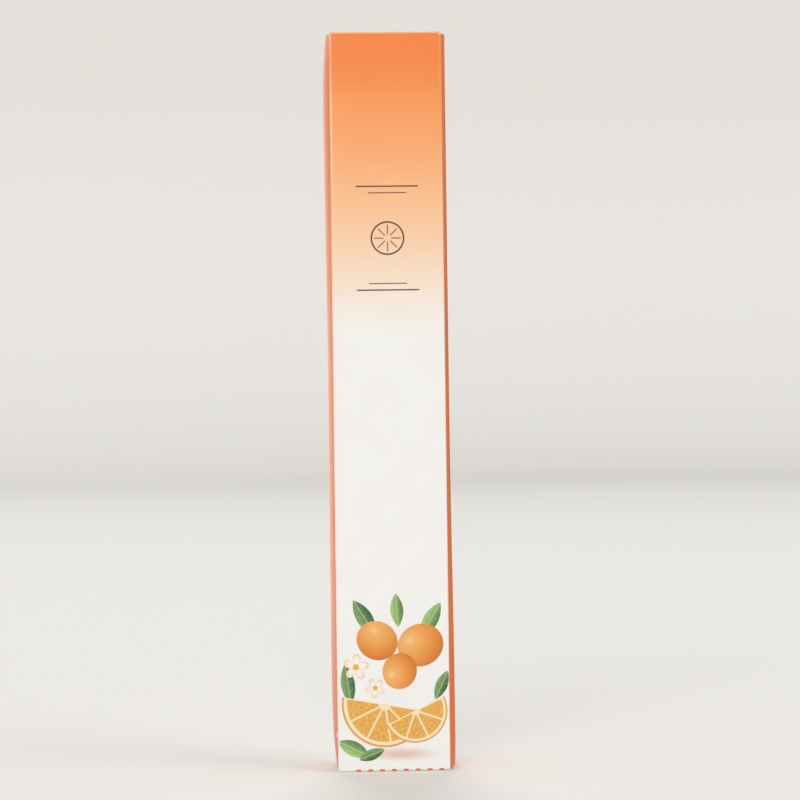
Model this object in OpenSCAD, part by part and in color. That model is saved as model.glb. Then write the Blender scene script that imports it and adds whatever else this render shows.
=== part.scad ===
// Nail oil pen in its folding carton.
// A slim tuck-end paperboard carton stands upright. A twist-feed brush pen stands inside it:
// a knob turns a keyed screw through a nut, and the screw pushes a piston that feeds oil to a brush.
// Origin: centre of the carton's bottom face. +Z is up and the front panel faces -Y.
// The carton is sized from the pen, as a packaging designer does, so it follows any pen size.

/* [Carton] */
// Paperboard thickness
board_t = 0.45; // [0.3:0.05:0.6]
// Free room at each side of the cap, across the front panel
room_w = 4.85; // [3:0.05:8]
// Free room before and behind the cap, inside the tuck flap
room_d = 0.6; // [0.5:0.1:4]
// Free height above the standing pen
headroom = 13.45; // [11:0.05:25]
// How far each side panel bows out at mid height
side_bow = 1.2; // [0.4:0.1:2]
// Height at each end over which the bow fades out
bow_fade = 9; // [4:0.5:16]
// Gap between the two facing dust flaps
dust_split = 2.6; // [1:0.1:6]
// Length of each tuck flap
tuck_len = 7.5; // [5:0.25:9]
// Width of the strip that glues the carton into a tube
glue_w = 10; // [6:0.5:12]
// Height of the lid fold that shows above the front panel's cut edge
front_drop = 0.6; // [0.3:0.1:1]
// Pitch of the perforated crease under the front panel
perf_pitch = 2.36; // [1.6:0.02:4]
// Length of each cut in the perforated crease
perf_cut = 0.95; // [0.5:0.05:1.2]

/* [Pen] */
// Outer diameter of the barrel and knob
barrel_d = 10.4; // [9.8:0.1:13]
// Length of barrel that shows between the knob and the cap
barrel_len = 66; // [65:0.5:80]
// Wall of the oil reservoir
barrel_wall = 1.1; // [0.9:0.05:1.2]
// How far the cap stands proud of the barrel, all round
cap_step = 0.5; // [0.3:0.05:1]
// Length of the cap
cap_len = 41; // [40:0.5:50]
// Wall of the cap around its liner
cap_wall = 1.1; // [0.8:0.05:1.2]
// Length of the twist knob
knob_len = 24; // [22:0.5:30]
// Number of grip flutes on the knob
flutes = 20; // [8:1:28]
// Height of the bright collar at the barrel's shoulder
collar_h = 2.2; // [1.2:0.1:4]

/* [Brush] */
// Length of the bristles beyond the ferrule
bristle_len = 14; // [8:0.5:14]
// Diameter of the bristle bundle in the ferrule
bristle_d = 3.9; // [3:0.1:4.2]
// Height of the ferrule's cone
ferrule_h = 11; // [8:0.5:11]

/* [Drive] */
// Crest diameter of the screw
screw_d = 4.2; // [3.8:0.1:4.2]
// Advance of the screw in one turn
lead = 8; // [6:0.5:10]
// Travel of the piston
feed = 34; // [20:0.5:34]
// Teeth on each ratchet crown, one click each
clicks = 16; // [8:1:20]
// Length of the threaded nut
nut_len = 5; // [4:0.25:6]
// Free height of the ratchet spring
spring_len = 8; // [6:0.25:9]
// Coils of the ratchet spring
spring_coils = 6; // [3:1:8]

/* [Hidden] */
$fn = 64;
part_color_print = "#f1dcc8";
part_color_orange = "#e8854a";
part_color_board = "#efece4";
part_color_clear = "#dfe7e8";
part_color_white = "#f4f3ef";
part_color_drive = "#dcdcd6";
part_color_steel = "#b9bcc0";

// Overrun of every cutting body past the face that it cuts
over = 0.5;
// How much slimmer a fold's round bead is than half the board, where the crease is pressed in
bead_slim = 0.02;
// Play between half the board and the flap that turns about the fold
fold_play = 0.02;
// Gap between two layers of board that lie on each other
layer_gap = 0.05;
// Gap under the standing pen
base_gap = 0.25;
// How far a lid opens, in degrees, and the turn of its tuck flap as a share of the lid's
lid_open = 120;
tuck_turn_share = 0.45;
// Least gap between a swinging tuck flap and the panel before it
swing_play = 0.05;
// Gap at each end of a lid, inside the side panels' outer faces
lid_side_gap = 0.25;
// Extra width that a tuck flap gives up at each side
tuck_side_gap = 0.5;
// Corner radius of a tuck flap
tuck_round = 2.4;
// Length of the locking slit at each end of a tuck fold
slit_len = 2.2;
// Room left beside a dust flap for the tuck flap that swings past it
pass_gap = 1.4;
// Set-back of a dust flap from the panel that carries the lid
dust_set_back = 0.2;
// Taper of a dust flap, as a share of its length
dust_taper_share = 0.55;
// Corner cut at a dust flap's tip
dust_chamfer = 1.2;
// Set-back of the glue strip's ends from the carton's ends
glue_end = 2;
// Slant of the glue strip's ends
glue_slant = 2.5;
// Play beside the glue strip at the corner
glue_play = 0.15;
// Plain length of fold before the first perforation
perf_margin = 1.7;
// Height of each perforation cut in the wall
perf_h = 0.5;

fold_r = board_t / 2;
fold_clear = fold_r + fold_play;
cap_d = barrel_d + 2 * cap_step;
stack = 2 * board_t + layer_gap;
pen_z = stack + base_gap;
// As a lid opens, its tuck flap's tip swings out before it lifts away: this is how far
tuck_swing = pow((tuck_len + fold_clear) * (1 - tuck_turn_share), 2) / (2 * (cap_d + 2 * room_d));
tuck_gap = tuck_swing + swing_play;
// Length over which a lid and its tuck flap are thinned on the inside, so that the fold can close
fold_mitre = fold_clear + fold_r / tan((90 - lid_open * tuck_turn_share) / 2);

// Gap between the knob's rim and the barrel
knob_gap = 0.3;
// Gap between the cap's mouth and the barrel's shoulder
cap_gap = 0.1;
// Length of the neck that the cap slides on
neck_len = 8;
// Radial play between parts that are pressed together
press_play = 0.02;
// Radial play of a part that turns or slides
run_play = 0.1;
// Radial play between the cap and the neck's friction bead
bead_play = 0.04;

pen_len = knob_len + knob_gap + barrel_len + cap_gap + cap_len;
carton_w = cap_d + 2 * room_w + 2 * board_t;
carton_d = cap_d + 2 * (room_d + 2 * board_t + tuck_gap);
carton_h = 2 * stack + base_gap + pen_len + headroom;
half_w = carton_w / 2;
half_d = carton_d / 2;

// Pen radii, from the outside in
barrel_r = barrel_d / 2;
cap_r = cap_d / 2;
bore_r = barrel_r - barrel_wall;
// How much wider the rear chamber is than the reservoir
chamber_step = 0.2;
chamber_r = bore_r + chamber_step;
// Wall of the knob around the bush's spigot and the end plug
knob_wall = 1.1;
knob_bore_r = barrel_r - knob_wall;
cap_bore_r = cap_r - cap_wall;
// Height that the friction bead stands off the neck
bead_h = 0.1;
// Thickness of the cap's wall inside its mouth, over the bead
mouth_lip = 0.1;
mouth_r = cap_bore_r - mouth_lip;
neck_r = mouth_r - bead_play - bead_h;
// Wall of the neck
neck_wall = 0.8;
neck_bore_r = neck_r - neck_wall;

// Drive sleeve, screw and ratchet
screw_r = screw_d / 2;
// Depth of the screw's thread
thread_h = 0.5;
root_r = screw_r - thread_h;
// How far each flat on the screw stands outside the thread's root
flat_out = 0.05;
flat_r = root_r + flat_out;
// Play between the screw's crest and the sleeve's bore, and its flats and the key
screw_play = 0.15;
// Wall of the drive sleeve
sleeve_wall = 0.65;
sleeve_r = screw_r + screw_play + sleeve_wall;
// Height of the splines that carry the sliding crown
spline_h = 0.25;
spline_r = sleeve_r + spline_h;
// Number and width of the splines
splines = 6;
spline_w = 0.9;
// Keyed length at the sleeve's top
key_len = 4;

// Heights along the pen, from the knob's end upwards
z_barrel = pen_z + knob_len + knob_gap;
z_shoulder = z_barrel + barrel_len;
z_neck = z_shoulder + neck_len;
z_cap = z_shoulder + cap_gap;
z_cap_top = z_cap + cap_len;
// Length of the rear bush inside the barrel, and of its spigot in the knob
bush_len = 5;
spigot_len = 7;
// Thickness of the drive sleeve's thrust flange
flange_t = 1;
// Height of each ratchet ring without its teeth, and of the teeth
crown_t = 1.8;
tooth_h = 0.6;
// Gap between the tips of the two crowns, at the top of a click
tip_gap = 0.05;
z_flange = z_barrel + bush_len + run_play;
z_spring = z_flange + flange_t;
z_crown = z_spring + spring_len;
z_fixed = z_crown + crown_t + 2 * tooth_h + tip_gap;
z_nut = z_fixed + crown_t;
z_step = z_nut + nut_len;
// Gap between the drive sleeve's end and the nut
sleeve_end_gap = 0.3;
z_sleeve_top = z_nut - sleeve_end_gap;
// Height of the knob's end recess, where the plug sits
recess_h = 6.5;
z_sleeve = pen_z + recess_h;

// Piston and screw ends
piston_gap = 0.5;
piston_len = 6.3;
z_piston = z_step + piston_gap;
// Socket in the piston for the screw's head
socket_lip = 1.2;
head_h = 1.4;
head_r = root_r;
// How far the neck under the screw's head is turned down
head_neck_cut = 0.45;
head_neck_r = head_r - head_neck_cut;
z_head = z_piston + socket_lip + run_play;
z_screw = z_sleeve_top - key_len - feed;

// Ferrule and liner
plug_gap = 0.5;
ferrule_flange_t = 1.2;
z_cone = z_neck + ferrule_flange_t;
z_ferrule_top = z_cone + ferrule_h;
pocket_len = 5;
// Wall of the ferrule at its tip and at the foot of its cone
ferrule_tip_wall = 0.55;
ferrule_foot_wall = 1.35;
// Fill between the bristles and their pocket
bristle_play = 0.02;
ferrule_tip_r = bristle_d / 2 + ferrule_tip_wall;
ferrule_foot_r = bristle_d / 2 + ferrule_foot_wall;
// Play between the ferrule or bristles and the liner, and above the bristles' tips
liner_play = 0.35;
liner_tip_gap = 0.9;
liner_end_t = 1;
feed_tube_r = 0.6;
feed_tube_bore_r = 0.35;
z_bristle_tip = z_ferrule_top + bristle_len;
z_liner_top = z_bristle_tip + liner_tip_gap + liner_end_t;

// Solid ring of outer radius r, bore radius b and height h
module ring(r, b, h) {
    difference() {
        cylinder(r = r, h = h);
        translate([0, 0, -over]) cylinder(r = b, h = h + 2 * over);
    }
}

// Bar along X, centred on the origin, with a round section: the bead of a fold
module fold_bead(length) {
    rotate([0, 90, 0]) cylinder(r = fold_r - bead_slim, h = length, center = true);
}

// Section of the tube: flat front and back, side panels as arcs. inset moves every wall inwards
module tube_section(inset) {
    arc_r = (half_d * half_d + side_bow * side_bow) / (2 * side_bow);
    arc_x = arc_r - half_w - side_bow;
    intersection() {
        square([2 * (half_w + side_bow), 2 * (half_d - inset)], center = true);
        translate([arc_x, 0]) circle(r = arc_r - inset);
        translate([-arc_x, 0]) circle(r = arc_r - inset);
    }
}

// Side view of the tube: the bow fades to nothing at each end
module bow_outline(inset) {
    end_x = half_w - inset;
    mid_x = half_w + side_bow - inset;
    polygon([
        [end_x, 0], [mid_x, bow_fade], [mid_x, carton_h - bow_fade], [end_x, carton_h],
        [-end_x, carton_h], [-mid_x, carton_h - bow_fade], [-mid_x, bow_fade], [-end_x, 0]
    ]);
}

module tube_body(inset) {
    intersection() {
        linear_extrude(carton_h) tube_section(inset);
        rotate([90, 0, 0]) linear_extrude(carton_d + 2 * over, center = true) bow_outline(inset);
    }
}

// Trims one end of the tube for its closure, with the lid hinged at +Y and the end at z = 0
module end_trim() {
    fold_z = board_t + layer_gap + fold_r;
    translate([-half_w - side_bow - over, -half_d + board_t, -over])
        cube([2 * (half_w + side_bow + over), carton_d - 2 * board_t, fold_z + over]);
    translate([-half_w - over, half_d - board_t - over, -over])
        cube([carton_w + 2 * over, board_t + 2 * over, fold_r + over]);
    translate([-half_w - over, -half_d - over, -over])
        cube([carton_w + 2 * over, board_t + 2 * over, front_drop + over]);
}

// Round fold beads that finish the hinged edges of one end
module end_beads() {
    lid_w = carton_w - 2 * lid_side_gap;
    translate([0, half_d - fold_r, fold_r]) fold_bead(lid_w);
    for (side = [-1, 1])
        translate([side * (half_w - fold_r), 0, board_t + layer_gap + fold_r])
            rotate([0, 0, 90]) fold_bead(carton_d - 2 * board_t - 2 * fold_play);
}

// Puts an end's geometry at the bottom, lid hinged at the front, or at the top, hinged at the back
module at_bottom() {
    rotate([0, 0, 180]) children();
}
module at_top() {
    translate([0, 0, carton_h]) rotate([0, 180, 0]) children();
}

// Cuts of the perforated crease under the front panel
module perforation() {
    run = carton_w - 2 * perf_margin;
    count = floor(run / perf_pitch);
    for (i = [0:count])
        translate([(i - count / 2) * perf_pitch - perf_cut / 2, -half_d - over, -over])
            cube([perf_cut, board_t + 2 * over, perf_h + over]);
}

module carton_sleeve() {
    color(part_color_print) difference() {
        union() {
            difference() {
                tube_body(0);
                tube_body(board_t);
                at_bottom() end_trim();
                at_top() end_trim();
            }
            at_bottom() end_beads();
            at_top() end_beads();
        }
        perforation();
    }
}

module glue_flap() {
    left = -half_w + board_t + glue_play;
    low = glue_end;
    high = carton_h - glue_end;
    color(part_color_board)
        translate([0, half_d - board_t, 0]) rotate([90, 0, 0]) linear_extrude(board_t)
            polygon([
                [left, low], [left, high],
                [left + glue_w, high - glue_slant], [left + glue_w, low + glue_slant]
            ]);
}

// A profile in Y and Z, drawn as X and Y, made as wide as asked along X
module along_x(width) {
    translate([-width / 2, 0, 0]) rotate([90, 0, 90]) linear_extrude(width) children();
}

// One end's lid, at z = 0 and hinged at +Y. gap is the play beyond its tuck flap
module end_lid(gap) {
    lid_w = carton_w - 2 * lid_side_gap;
    hinge_y = half_d - fold_r;
    tuck_y = -half_d + board_t + gap + fold_r;
    along_x(lid_w) polygon([
        [tuck_y, 0], [hinge_y - fold_clear, 0], [hinge_y - fold_clear, board_t],
        [tuck_y + fold_mitre, board_t], [tuck_y, fold_r]
    ]);
    translate([0, tuck_y, fold_r]) fold_bead(lid_w - 2 * slit_len);
}

// One end's tuck flap, standing up inside the panel that faces the hinge
module end_tuck(gap) {
    wide = carton_w - 2 * lid_side_gap - 2 * tuck_side_gap;
    tuck_y = -half_d + board_t + gap + fold_r;
    inner_w = wide - 2 * tuck_round;
    foot_z = fold_r + fold_clear;
    tip_z = foot_z + tuck_len;
    intersection() {
        translate([0, tuck_y + fold_r, foot_z]) rotate([90, 0, 0]) linear_extrude(board_t) {
            translate([-wide / 2, 0]) square([wide, tuck_len - tuck_round]);
            translate([-inner_w / 2, 0]) square([inner_w, tuck_len]);
            for (side = [-1, 1])
                translate([side * inner_w / 2, tuck_len - tuck_round]) circle(r = tuck_round);
        }
        along_x(wide) polygon([
            [tuck_y - fold_r, foot_z], [tuck_y, foot_z], [tuck_y + fold_r, fold_r + fold_mitre],
            [tuck_y + fold_r, tip_z], [tuck_y - fold_r, tip_z]
        ]);
    }
}

// One end's dust flap, hinged at the +X side panel and lying on the lid. gap as for the lid
module end_dust(gap) {
    reach = half_w - fold_r - dust_split / 2;
    tuck_edge = -half_d + board_t + gap + board_t + pass_gap;
    hinge_edge = half_d - board_t - dust_set_back;
    tip_edge = hinge_edge - dust_taper_share * (reach - fold_clear);
    translate([half_w - fold_r, 0, board_t + layer_gap]) linear_extrude(board_t)
        polygon([
            [-fold_clear, tuck_edge], [-fold_clear, hinge_edge],
            [-reach, tip_edge], [-reach, tuck_edge + dust_chamfer],
            [-reach + dust_chamfer, tuck_edge]
        ]);
}

// The bottom tuck flap lies over the glue strip, so it stands one board further in
bottom_gap = tuck_gap + board_t;

module top_lid() {
    color(part_color_orange) at_top() end_lid(tuck_gap);
}
module top_tuck_flap() {
    color(part_color_orange) at_top() end_tuck(tuck_gap);
}
module top_dust_flap_left() {
    color(part_color_board) at_top() end_dust(tuck_gap);
}
module top_dust_flap_right() {
    color(part_color_board) at_top() mirror([1, 0, 0]) end_dust(tuck_gap);
}
module bottom_lid() {
    color(part_color_orange) at_bottom() end_lid(bottom_gap);
}
module bottom_tuck_flap() {
    color(part_color_orange) at_bottom() end_tuck(bottom_gap);
}
module bottom_dust_flap_left() {
    color(part_color_board) at_bottom() end_dust(bottom_gap);
}
module bottom_dust_flap_right() {
    color(part_color_board) at_bottom() mirror([1, 0, 0]) end_dust(bottom_gap);
}

// Radius of the barrel under the collar, and how far the collar stands out
collar_seat = 0.25;
collar_proud = 0.25;

module pen_barrel() {
    // Width of the friction bead, and its distance below the neck's end
    bead_w = 1;
    bead_drop = 2.5;
    color(part_color_clear) difference() {
        union() {
            translate([0, 0, z_barrel]) cylinder(r = barrel_r, h = barrel_len - collar_h);
            translate([0, 0, z_barrel]) cylinder(r = barrel_r - collar_seat, h = barrel_len);
            translate([0, 0, z_barrel]) cylinder(r = neck_r, h = barrel_len + neck_len);
            translate([0, 0, z_neck - bead_drop]) {
                cylinder(r1 = neck_r, r2 = neck_r + bead_h, h = bead_w / 2);
                translate([0, 0, bead_w / 2]) cylinder(r1 = neck_r + bead_h, r2 = neck_r, h = bead_w / 2);
            }
        }
        translate([0, 0, z_barrel - over]) cylinder(r = chamber_r, h = z_step - z_barrel + over);
        translate([0, 0, z_barrel]) cylinder(r = bore_r, h = barrel_len);
        translate([0, 0, z_barrel]) cylinder(r = neck_bore_r, h = barrel_len + neck_len + over);
    }
}

module collar_ring() {
    color(part_color_steel) translate([0, 0, z_shoulder - collar_h + press_play])
        ring(barrel_r + collar_proud, barrel_r - collar_seat + press_play, collar_h - press_play);
}

// O-ring section and its groove in the ferrule's plug
o_ring_t = 0.55;
groove_w = 1.3;
groove_up = 3.5;

module brush_ferrule() {
    plug_r = neck_bore_r - press_play;
    groove_r = neck_bore_r - 2 * o_ring_t - 2 * press_play;
    inlet_r = 1.4;
    inlet_h = 5;
    color(part_color_white) difference() {
        union() {
            translate([0, 0, z_shoulder + plug_gap]) cylinder(r = plug_r, h = neck_len - plug_gap);
            translate([0, 0, z_neck]) cylinder(r = neck_r, h = ferrule_flange_t);
            translate([0, 0, z_cone]) cylinder(r1 = ferrule_foot_r, r2 = ferrule_tip_r, h = ferrule_h);
        }
        translate([0, 0, z_shoulder + groove_up - groove_w / 2]) ring(neck_r, groove_r, groove_w);
        translate([0, 0, z_shoulder + plug_gap - over]) cylinder(r = inlet_r, h = inlet_h + over);
        translate([0, 0, z_shoulder]) cylinder(r = feed_tube_r + press_play, h = z_ferrule_top - z_shoulder);
        translate([0, 0, z_ferrule_top - pocket_len]) cylinder(r = bristle_d / 2, h = pocket_len + over);
    }
}

module ferrule_o_ring() {
    mid_r = neck_bore_r - press_play - o_ring_t;
    color("#3a3a3c") translate([0, 0, z_shoulder + groove_up]) rotate_extrude()
        translate([mid_r, 0]) circle(r = o_ring_t, $fn = 32);
}

// Depth of the feed tube below the brush pocket, and height above the ferrule's mouth
tube_below = 6;
tube_above = 3;

module feed_tube() {
    length = tube_below + pocket_len + tube_above;
    color(part_color_steel) translate([0, 0, z_ferrule_top - pocket_len - tube_below])
        ring(feed_tube_r, feed_tube_bore_r, length);
}

module brush_bristles() {
    // The bundle swells to its belly and narrows to a trimmed tip: shares of its diameter and free length
    belly_r_share = 0.54;
    belly_z_share = 0.25;
    taper_r_share = 0.4;
    taper_z_share = 0.7;
    tip_r_share = 0.1;
    foot = z_ferrule_top - pocket_len + bristle_play;
    foot_r = bristle_d / 2 - bristle_play;
    color("#e9e2cf") difference() {
        rotate_extrude() polygon([
            [0, foot], [foot_r, foot], [foot_r, z_ferrule_top],
            [bristle_d * belly_r_share, z_ferrule_top + bristle_len * belly_z_share],
            [bristle_d * taper_r_share, z_ferrule_top + bristle_len * taper_z_share],
            [bristle_d * tip_r_share, z_bristle_tip], [0, z_bristle_tip]
        ]);
        translate([0, 0, z_ferrule_top - pocket_len])
            cylinder(r = feed_tube_r + bristle_play, h = pocket_len + tube_above + bristle_play);
    }
}

module pen_cap() {
    // Radius of the cap's top edge, and thickness of its end
    edge_r = 1.6;
    end_t = 1.4;
    mouth_len = neck_len + ferrule_flange_t;
    color(part_color_white) difference() {
        translate([0, 0, z_cap]) rotate_extrude() {
            square([cap_r, cap_len - edge_r]);
            square([cap_r - edge_r, cap_len]);
            translate([cap_r - edge_r, cap_len - edge_r]) circle(r = edge_r);
        }
        translate([0, 0, z_cap - over]) cylinder(r = mouth_r, h = mouth_len + over);
        translate([0, 0, z_cap + mouth_len - over])
            cylinder(r = cap_bore_r, h = cap_len - mouth_len - end_t + over);
    }
}

module cap_liner() {
    bristle_room_r = ferrule_tip_r + liner_play;
    foot_room_r = ferrule_foot_r + liner_play;
    outer_r = cap_bore_r - press_play;
    start = z_cap + neck_len + ferrule_flange_t;
    inner_top = z_liner_top - liner_end_t;
    color("#e6ecec") difference() {
        translate([0, 0, start]) cylinder(r = outer_r, h = z_liner_top - start);
        translate([0, 0, z_cone]) cylinder(r1 = foot_room_r, r2 = bristle_room_r, h = ferrule_h);
        translate([0, 0, z_ferrule_top - over])
            cylinder(r = bristle_room_r, h = inner_top - z_ferrule_top + over);
    }
}

// Shares of one thread lobe's turn at which its outline has a point, and the height there
lobe_shares = [0, 0.12, 0.25, 0.38, 0.5, 0.62, 0.75, 0.88];
lobe_height_shares = [0, 1, 1, 1, 0, 0, 0, 0];
thread_starts = 2;
slices_per_turn = 16;
// Play of the screw in its nut, across the thread, and the extra turn of each flank in degrees
nut_play = 0.13;
nut_flank_turn = 7;

// Twisted body of a two-start thread. grow is radial, and flank widens each lobe, in degrees
module thread_body(height, grow, flank) {
    lobe_turn = 360 / thread_starts;
    points = [
        for (start = [0:thread_starts - 1], i = [0:len(lobe_shares) - 1])
            let(
                widen = i == 0 ? -flank : i == 1 ? -flank : i == 3 ? flank : i == 4 ? flank : 0,
                turn = (start + lobe_shares[i]) * lobe_turn + widen,
                r = root_r + grow + thread_h * lobe_height_shares[i]
            ) [r * cos(turn), r * sin(turn)]
    ];
    slices = ceil(height / lead * slices_per_turn);
    linear_extrude(height, twist = -360 * height / lead, slices = slices, segments = len(points))
        polygon(points);
}

module thread_nut() {
    color(part_color_drive) difference() {
        translate([0, 0, z_nut]) cylinder(r = chamber_r - press_play, h = nut_len);
        // The cut starts at the screw's foot level, so that both threads are in phase
        translate([0, 0, z_nut - over]) rotate([0, 0, 360 * (z_nut - over - z_screw) / lead])
            thread_body(nut_len + 2 * over, nut_play, nut_flank_turn);
    }
}

module piston_rod() {
    thread_top = z_piston - run_play;
    color(part_color_drive) {
        intersection() {
            translate([0, 0, z_screw]) thread_body(thread_top - z_screw, 0, 0);
            translate([-screw_r, -flat_r, z_screw - over])
                cube([2 * screw_r, 2 * flat_r, thread_top - z_screw + 2 * over]);
        }
        translate([0, 0, thread_top - over]) cylinder(r = head_neck_r, h = z_head - thread_top + 2 * over);
        translate([0, 0, z_head]) cylinder(r1 = head_r, r2 = head_neck_r, h = head_h);
    }
}

module piston() {
    // Height of each sealing lip, depth of the waist, and height and flat radius of the nose
    lip_h = 1.1;
    waist = 0.45;
    nose_h = 1;
    nose_r = 1.6;
    seal_r = bore_r - press_play;
    top = z_piston + piston_len;
    color("#c9d2d6") difference() {
        rotate_extrude() polygon([
            [0, z_piston], [seal_r, z_piston], [seal_r, z_piston + lip_h],
            [seal_r - waist, z_piston + 2 * lip_h], [seal_r - waist, top - nose_h - 2 * lip_h],
            [seal_r, top - nose_h - lip_h], [seal_r, top - nose_h],
            [seal_r - waist, top - nose_h], [nose_r, top], [0, top]
        ]);
        translate([0, 0, z_piston - over]) cylinder(r = head_neck_r + run_play, h = socket_lip + 2 * over);
        translate([0, 0, z_piston + socket_lip]) cylinder(r = head_r + run_play, h = head_h + 2 * run_play);
    }
}

module rear_bush() {
    color(part_color_drive) difference() {
        union() {
            translate([0, 0, z_barrel - spigot_len])
                cylinder(r = knob_bore_r - run_play, h = spigot_len + bush_len);
            translate([0, 0, z_barrel]) cylinder(r = chamber_r - press_play, h = bush_len);
        }
        translate([0, 0, z_barrel - spigot_len - over])
            cylinder(r = sleeve_r + run_play, h = spigot_len + bush_len + 2 * over);
    }
}

// Ring of saw teeth on a ring of radii r and b. height is the ring's own
module toothed_ring(r, b, height) {
    tooth_turn = 360 / clicks;
    tooth_run = 2 * PI * r / clicks;
    ring(r, b, height);
    intersection() {
        ring(r, b, height + tooth_h);
        for (i = [0:clicks - 1])
            rotate([90, 0, i * tooth_turn]) translate([0, height, -r - over])
                linear_extrude(r + over) polygon([[0, -over], [tooth_run, -over], [0, tooth_h]]);
    }
}

module fixed_ratchet_crown() {
    color(part_color_drive) translate([0, 0, z_nut]) mirror([0, 0, 1])
        toothed_ring(chamber_r - press_play, spline_r + run_play, crown_t);
}

module sliding_ratchet_crown() {
    color(part_color_white) difference() {
        translate([0, 0, z_crown])
            toothed_ring(chamber_r - run_play, spline_r + run_play - spline_h, crown_t);
        for (i = [0:splines - 1]) rotate([0, 0, i * 360 / splines])
            translate([0, -spline_w / 2 - run_play, z_crown - over])
                cube([spline_r + run_play, spline_w + 2 * run_play, crown_t + tooth_h + 2 * over]);
    }
}

module drive_sleeve() {
    color(part_color_drive) difference() {
        union() {
            translate([0, 0, z_sleeve]) cylinder(r = sleeve_r, h = z_sleeve_top - z_sleeve);
            translate([0, 0, z_flange]) cylinder(r = chamber_r - run_play, h = flange_t);
            for (i = [0:splines - 1]) rotate([0, 0, i * 360 / splines])
                translate([0, -spline_w / 2, z_flange + flange_t / 2])
                    cube([spline_r, spline_w, z_sleeve_top - z_flange - flange_t / 2]);
        }
        translate([0, 0, z_sleeve - over])
            cylinder(r = screw_r + screw_play, h = z_sleeve_top - key_len - z_sleeve + over);
        intersection() {
            translate([0, 0, z_sleeve])
                cylinder(r = screw_r + screw_play, h = z_sleeve_top - z_sleeve + over);
            translate([-screw_r - over, -flat_r - screw_play, z_sleeve])
                cube([2 * (screw_r + over), 2 * (flat_r + screw_play), z_sleeve_top - z_sleeve + over]);
        }
    }
}

// Wire and mean radius of the ratchet spring, and the flattening of its ends
wire_r = 0.25;
spring_r = (chamber_r + spline_r) / 2;
spring_sides = 6;
rings_per_coil = 12;
end_play = 0.03;

module ratchet_spring() {
    low = z_spring + wire_r + end_play;
    rise = spring_len - 2 * (wire_r + end_play);
    last = spring_coils * rings_per_coil;
    slope = atan(rise / (2 * PI * spring_r * spring_coils));
    points = [
        for (i = [0:last], k = [0:spring_sides - 1])
            let(
                turn = 360 * i / rings_per_coil,
                around = 360 * k / spring_sides,
                out = spring_r + wire_r * cos(around),
                lift = wire_r * sin(around)
            ) [
                out * cos(turn) + lift * sin(slope) * sin(turn),
                out * sin(turn) - lift * sin(slope) * cos(turn),
                low + rise * i / last + lift * cos(slope)
            ]
    ];
    walls = [
        for (i = [0:last - 1], k = [0:spring_sides - 1])
            let(a = i * spring_sides + k, b = i * spring_sides + (k + 1) % spring_sides)
                each [[a, b, b + spring_sides], [a, b + spring_sides, a + spring_sides]]
    ];
    start_face = [for (k = [1:spring_sides - 2]) [0, k + 1, k]];
    tip = last * spring_sides;
    end_face = [for (k = [1:spring_sides - 2]) [tip, tip + k, tip + k + 1]];
    color(part_color_steel) polyhedron(points, concat(walls, start_face, end_face));
}

// Thickness and rim of the end plug's flange, and height of its spigot
plug_flange_t = 1;
plug_rim = 0.5;
plug_h = 4.2;

module knob_end_plug() {
    color(part_color_steel) {
        translate([0, 0, pen_z]) cylinder(r = knob_bore_r + plug_rim, h = plug_flange_t);
        translate([0, 0, pen_z]) ring(knob_bore_r - press_play, knob_bore_r - knob_wall, plug_h);
    }
}

module twist_knob() {
    // Radius and depth of the flutes, and the plain band at each end
    flute_r = 0.6;
    flute_depth = 0.25;
    plain_band = 2;
    edge = 0.4;
    color(part_color_white) difference() {
        translate([0, 0, pen_z]) {
            cylinder(r1 = barrel_r - edge, r2 = barrel_r, h = edge);
            translate([0, 0, edge]) cylinder(r = barrel_r, h = knob_len - edge);
        }
        translate([0, 0, pen_z - over])
            cylinder(r = knob_bore_r + plug_rim + press_play, h = plug_flange_t + over);
        translate([0, 0, pen_z - over]) cylinder(r = knob_bore_r, h = recess_h + over);
        translate([0, 0, pen_z]) cylinder(r = sleeve_r + press_play, h = knob_len);
        translate([0, 0, z_barrel - spigot_len - knob_gap]) cylinder(r = knob_bore_r, h = spigot_len + over);
        for (i = [0:flutes - 1]) rotate([0, 0, i * 360 / flutes])
            translate([barrel_r - flute_depth + flute_r, 0, pen_z + plain_band])
                cylinder(r = flute_r, h = knob_len - 2 * plain_band);
    }
}

carton_sleeve();
glue_flap();
top_lid();
top_tuck_flap();
top_dust_flap_left();
top_dust_flap_right();
bottom_lid();
bottom_tuck_flap();
bottom_dust_flap_left();
bottom_dust_flap_right();
pen_barrel();
collar_ring();
brush_ferrule();
ferrule_o_ring();
feed_tube();
brush_bristles();
pen_cap();
cap_liner();
thread_nut();
rear_bush();
fixed_ratchet_crown();
twist_knob();
knob_end_plug();
drive_sleeve();
sliding_ratchet_crown();
ratchet_spring();
piston_rod();
piston();
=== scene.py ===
"""Nail oil pen standing in its printed folding carton: board, inks, plastics, metal and studio."""

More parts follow.
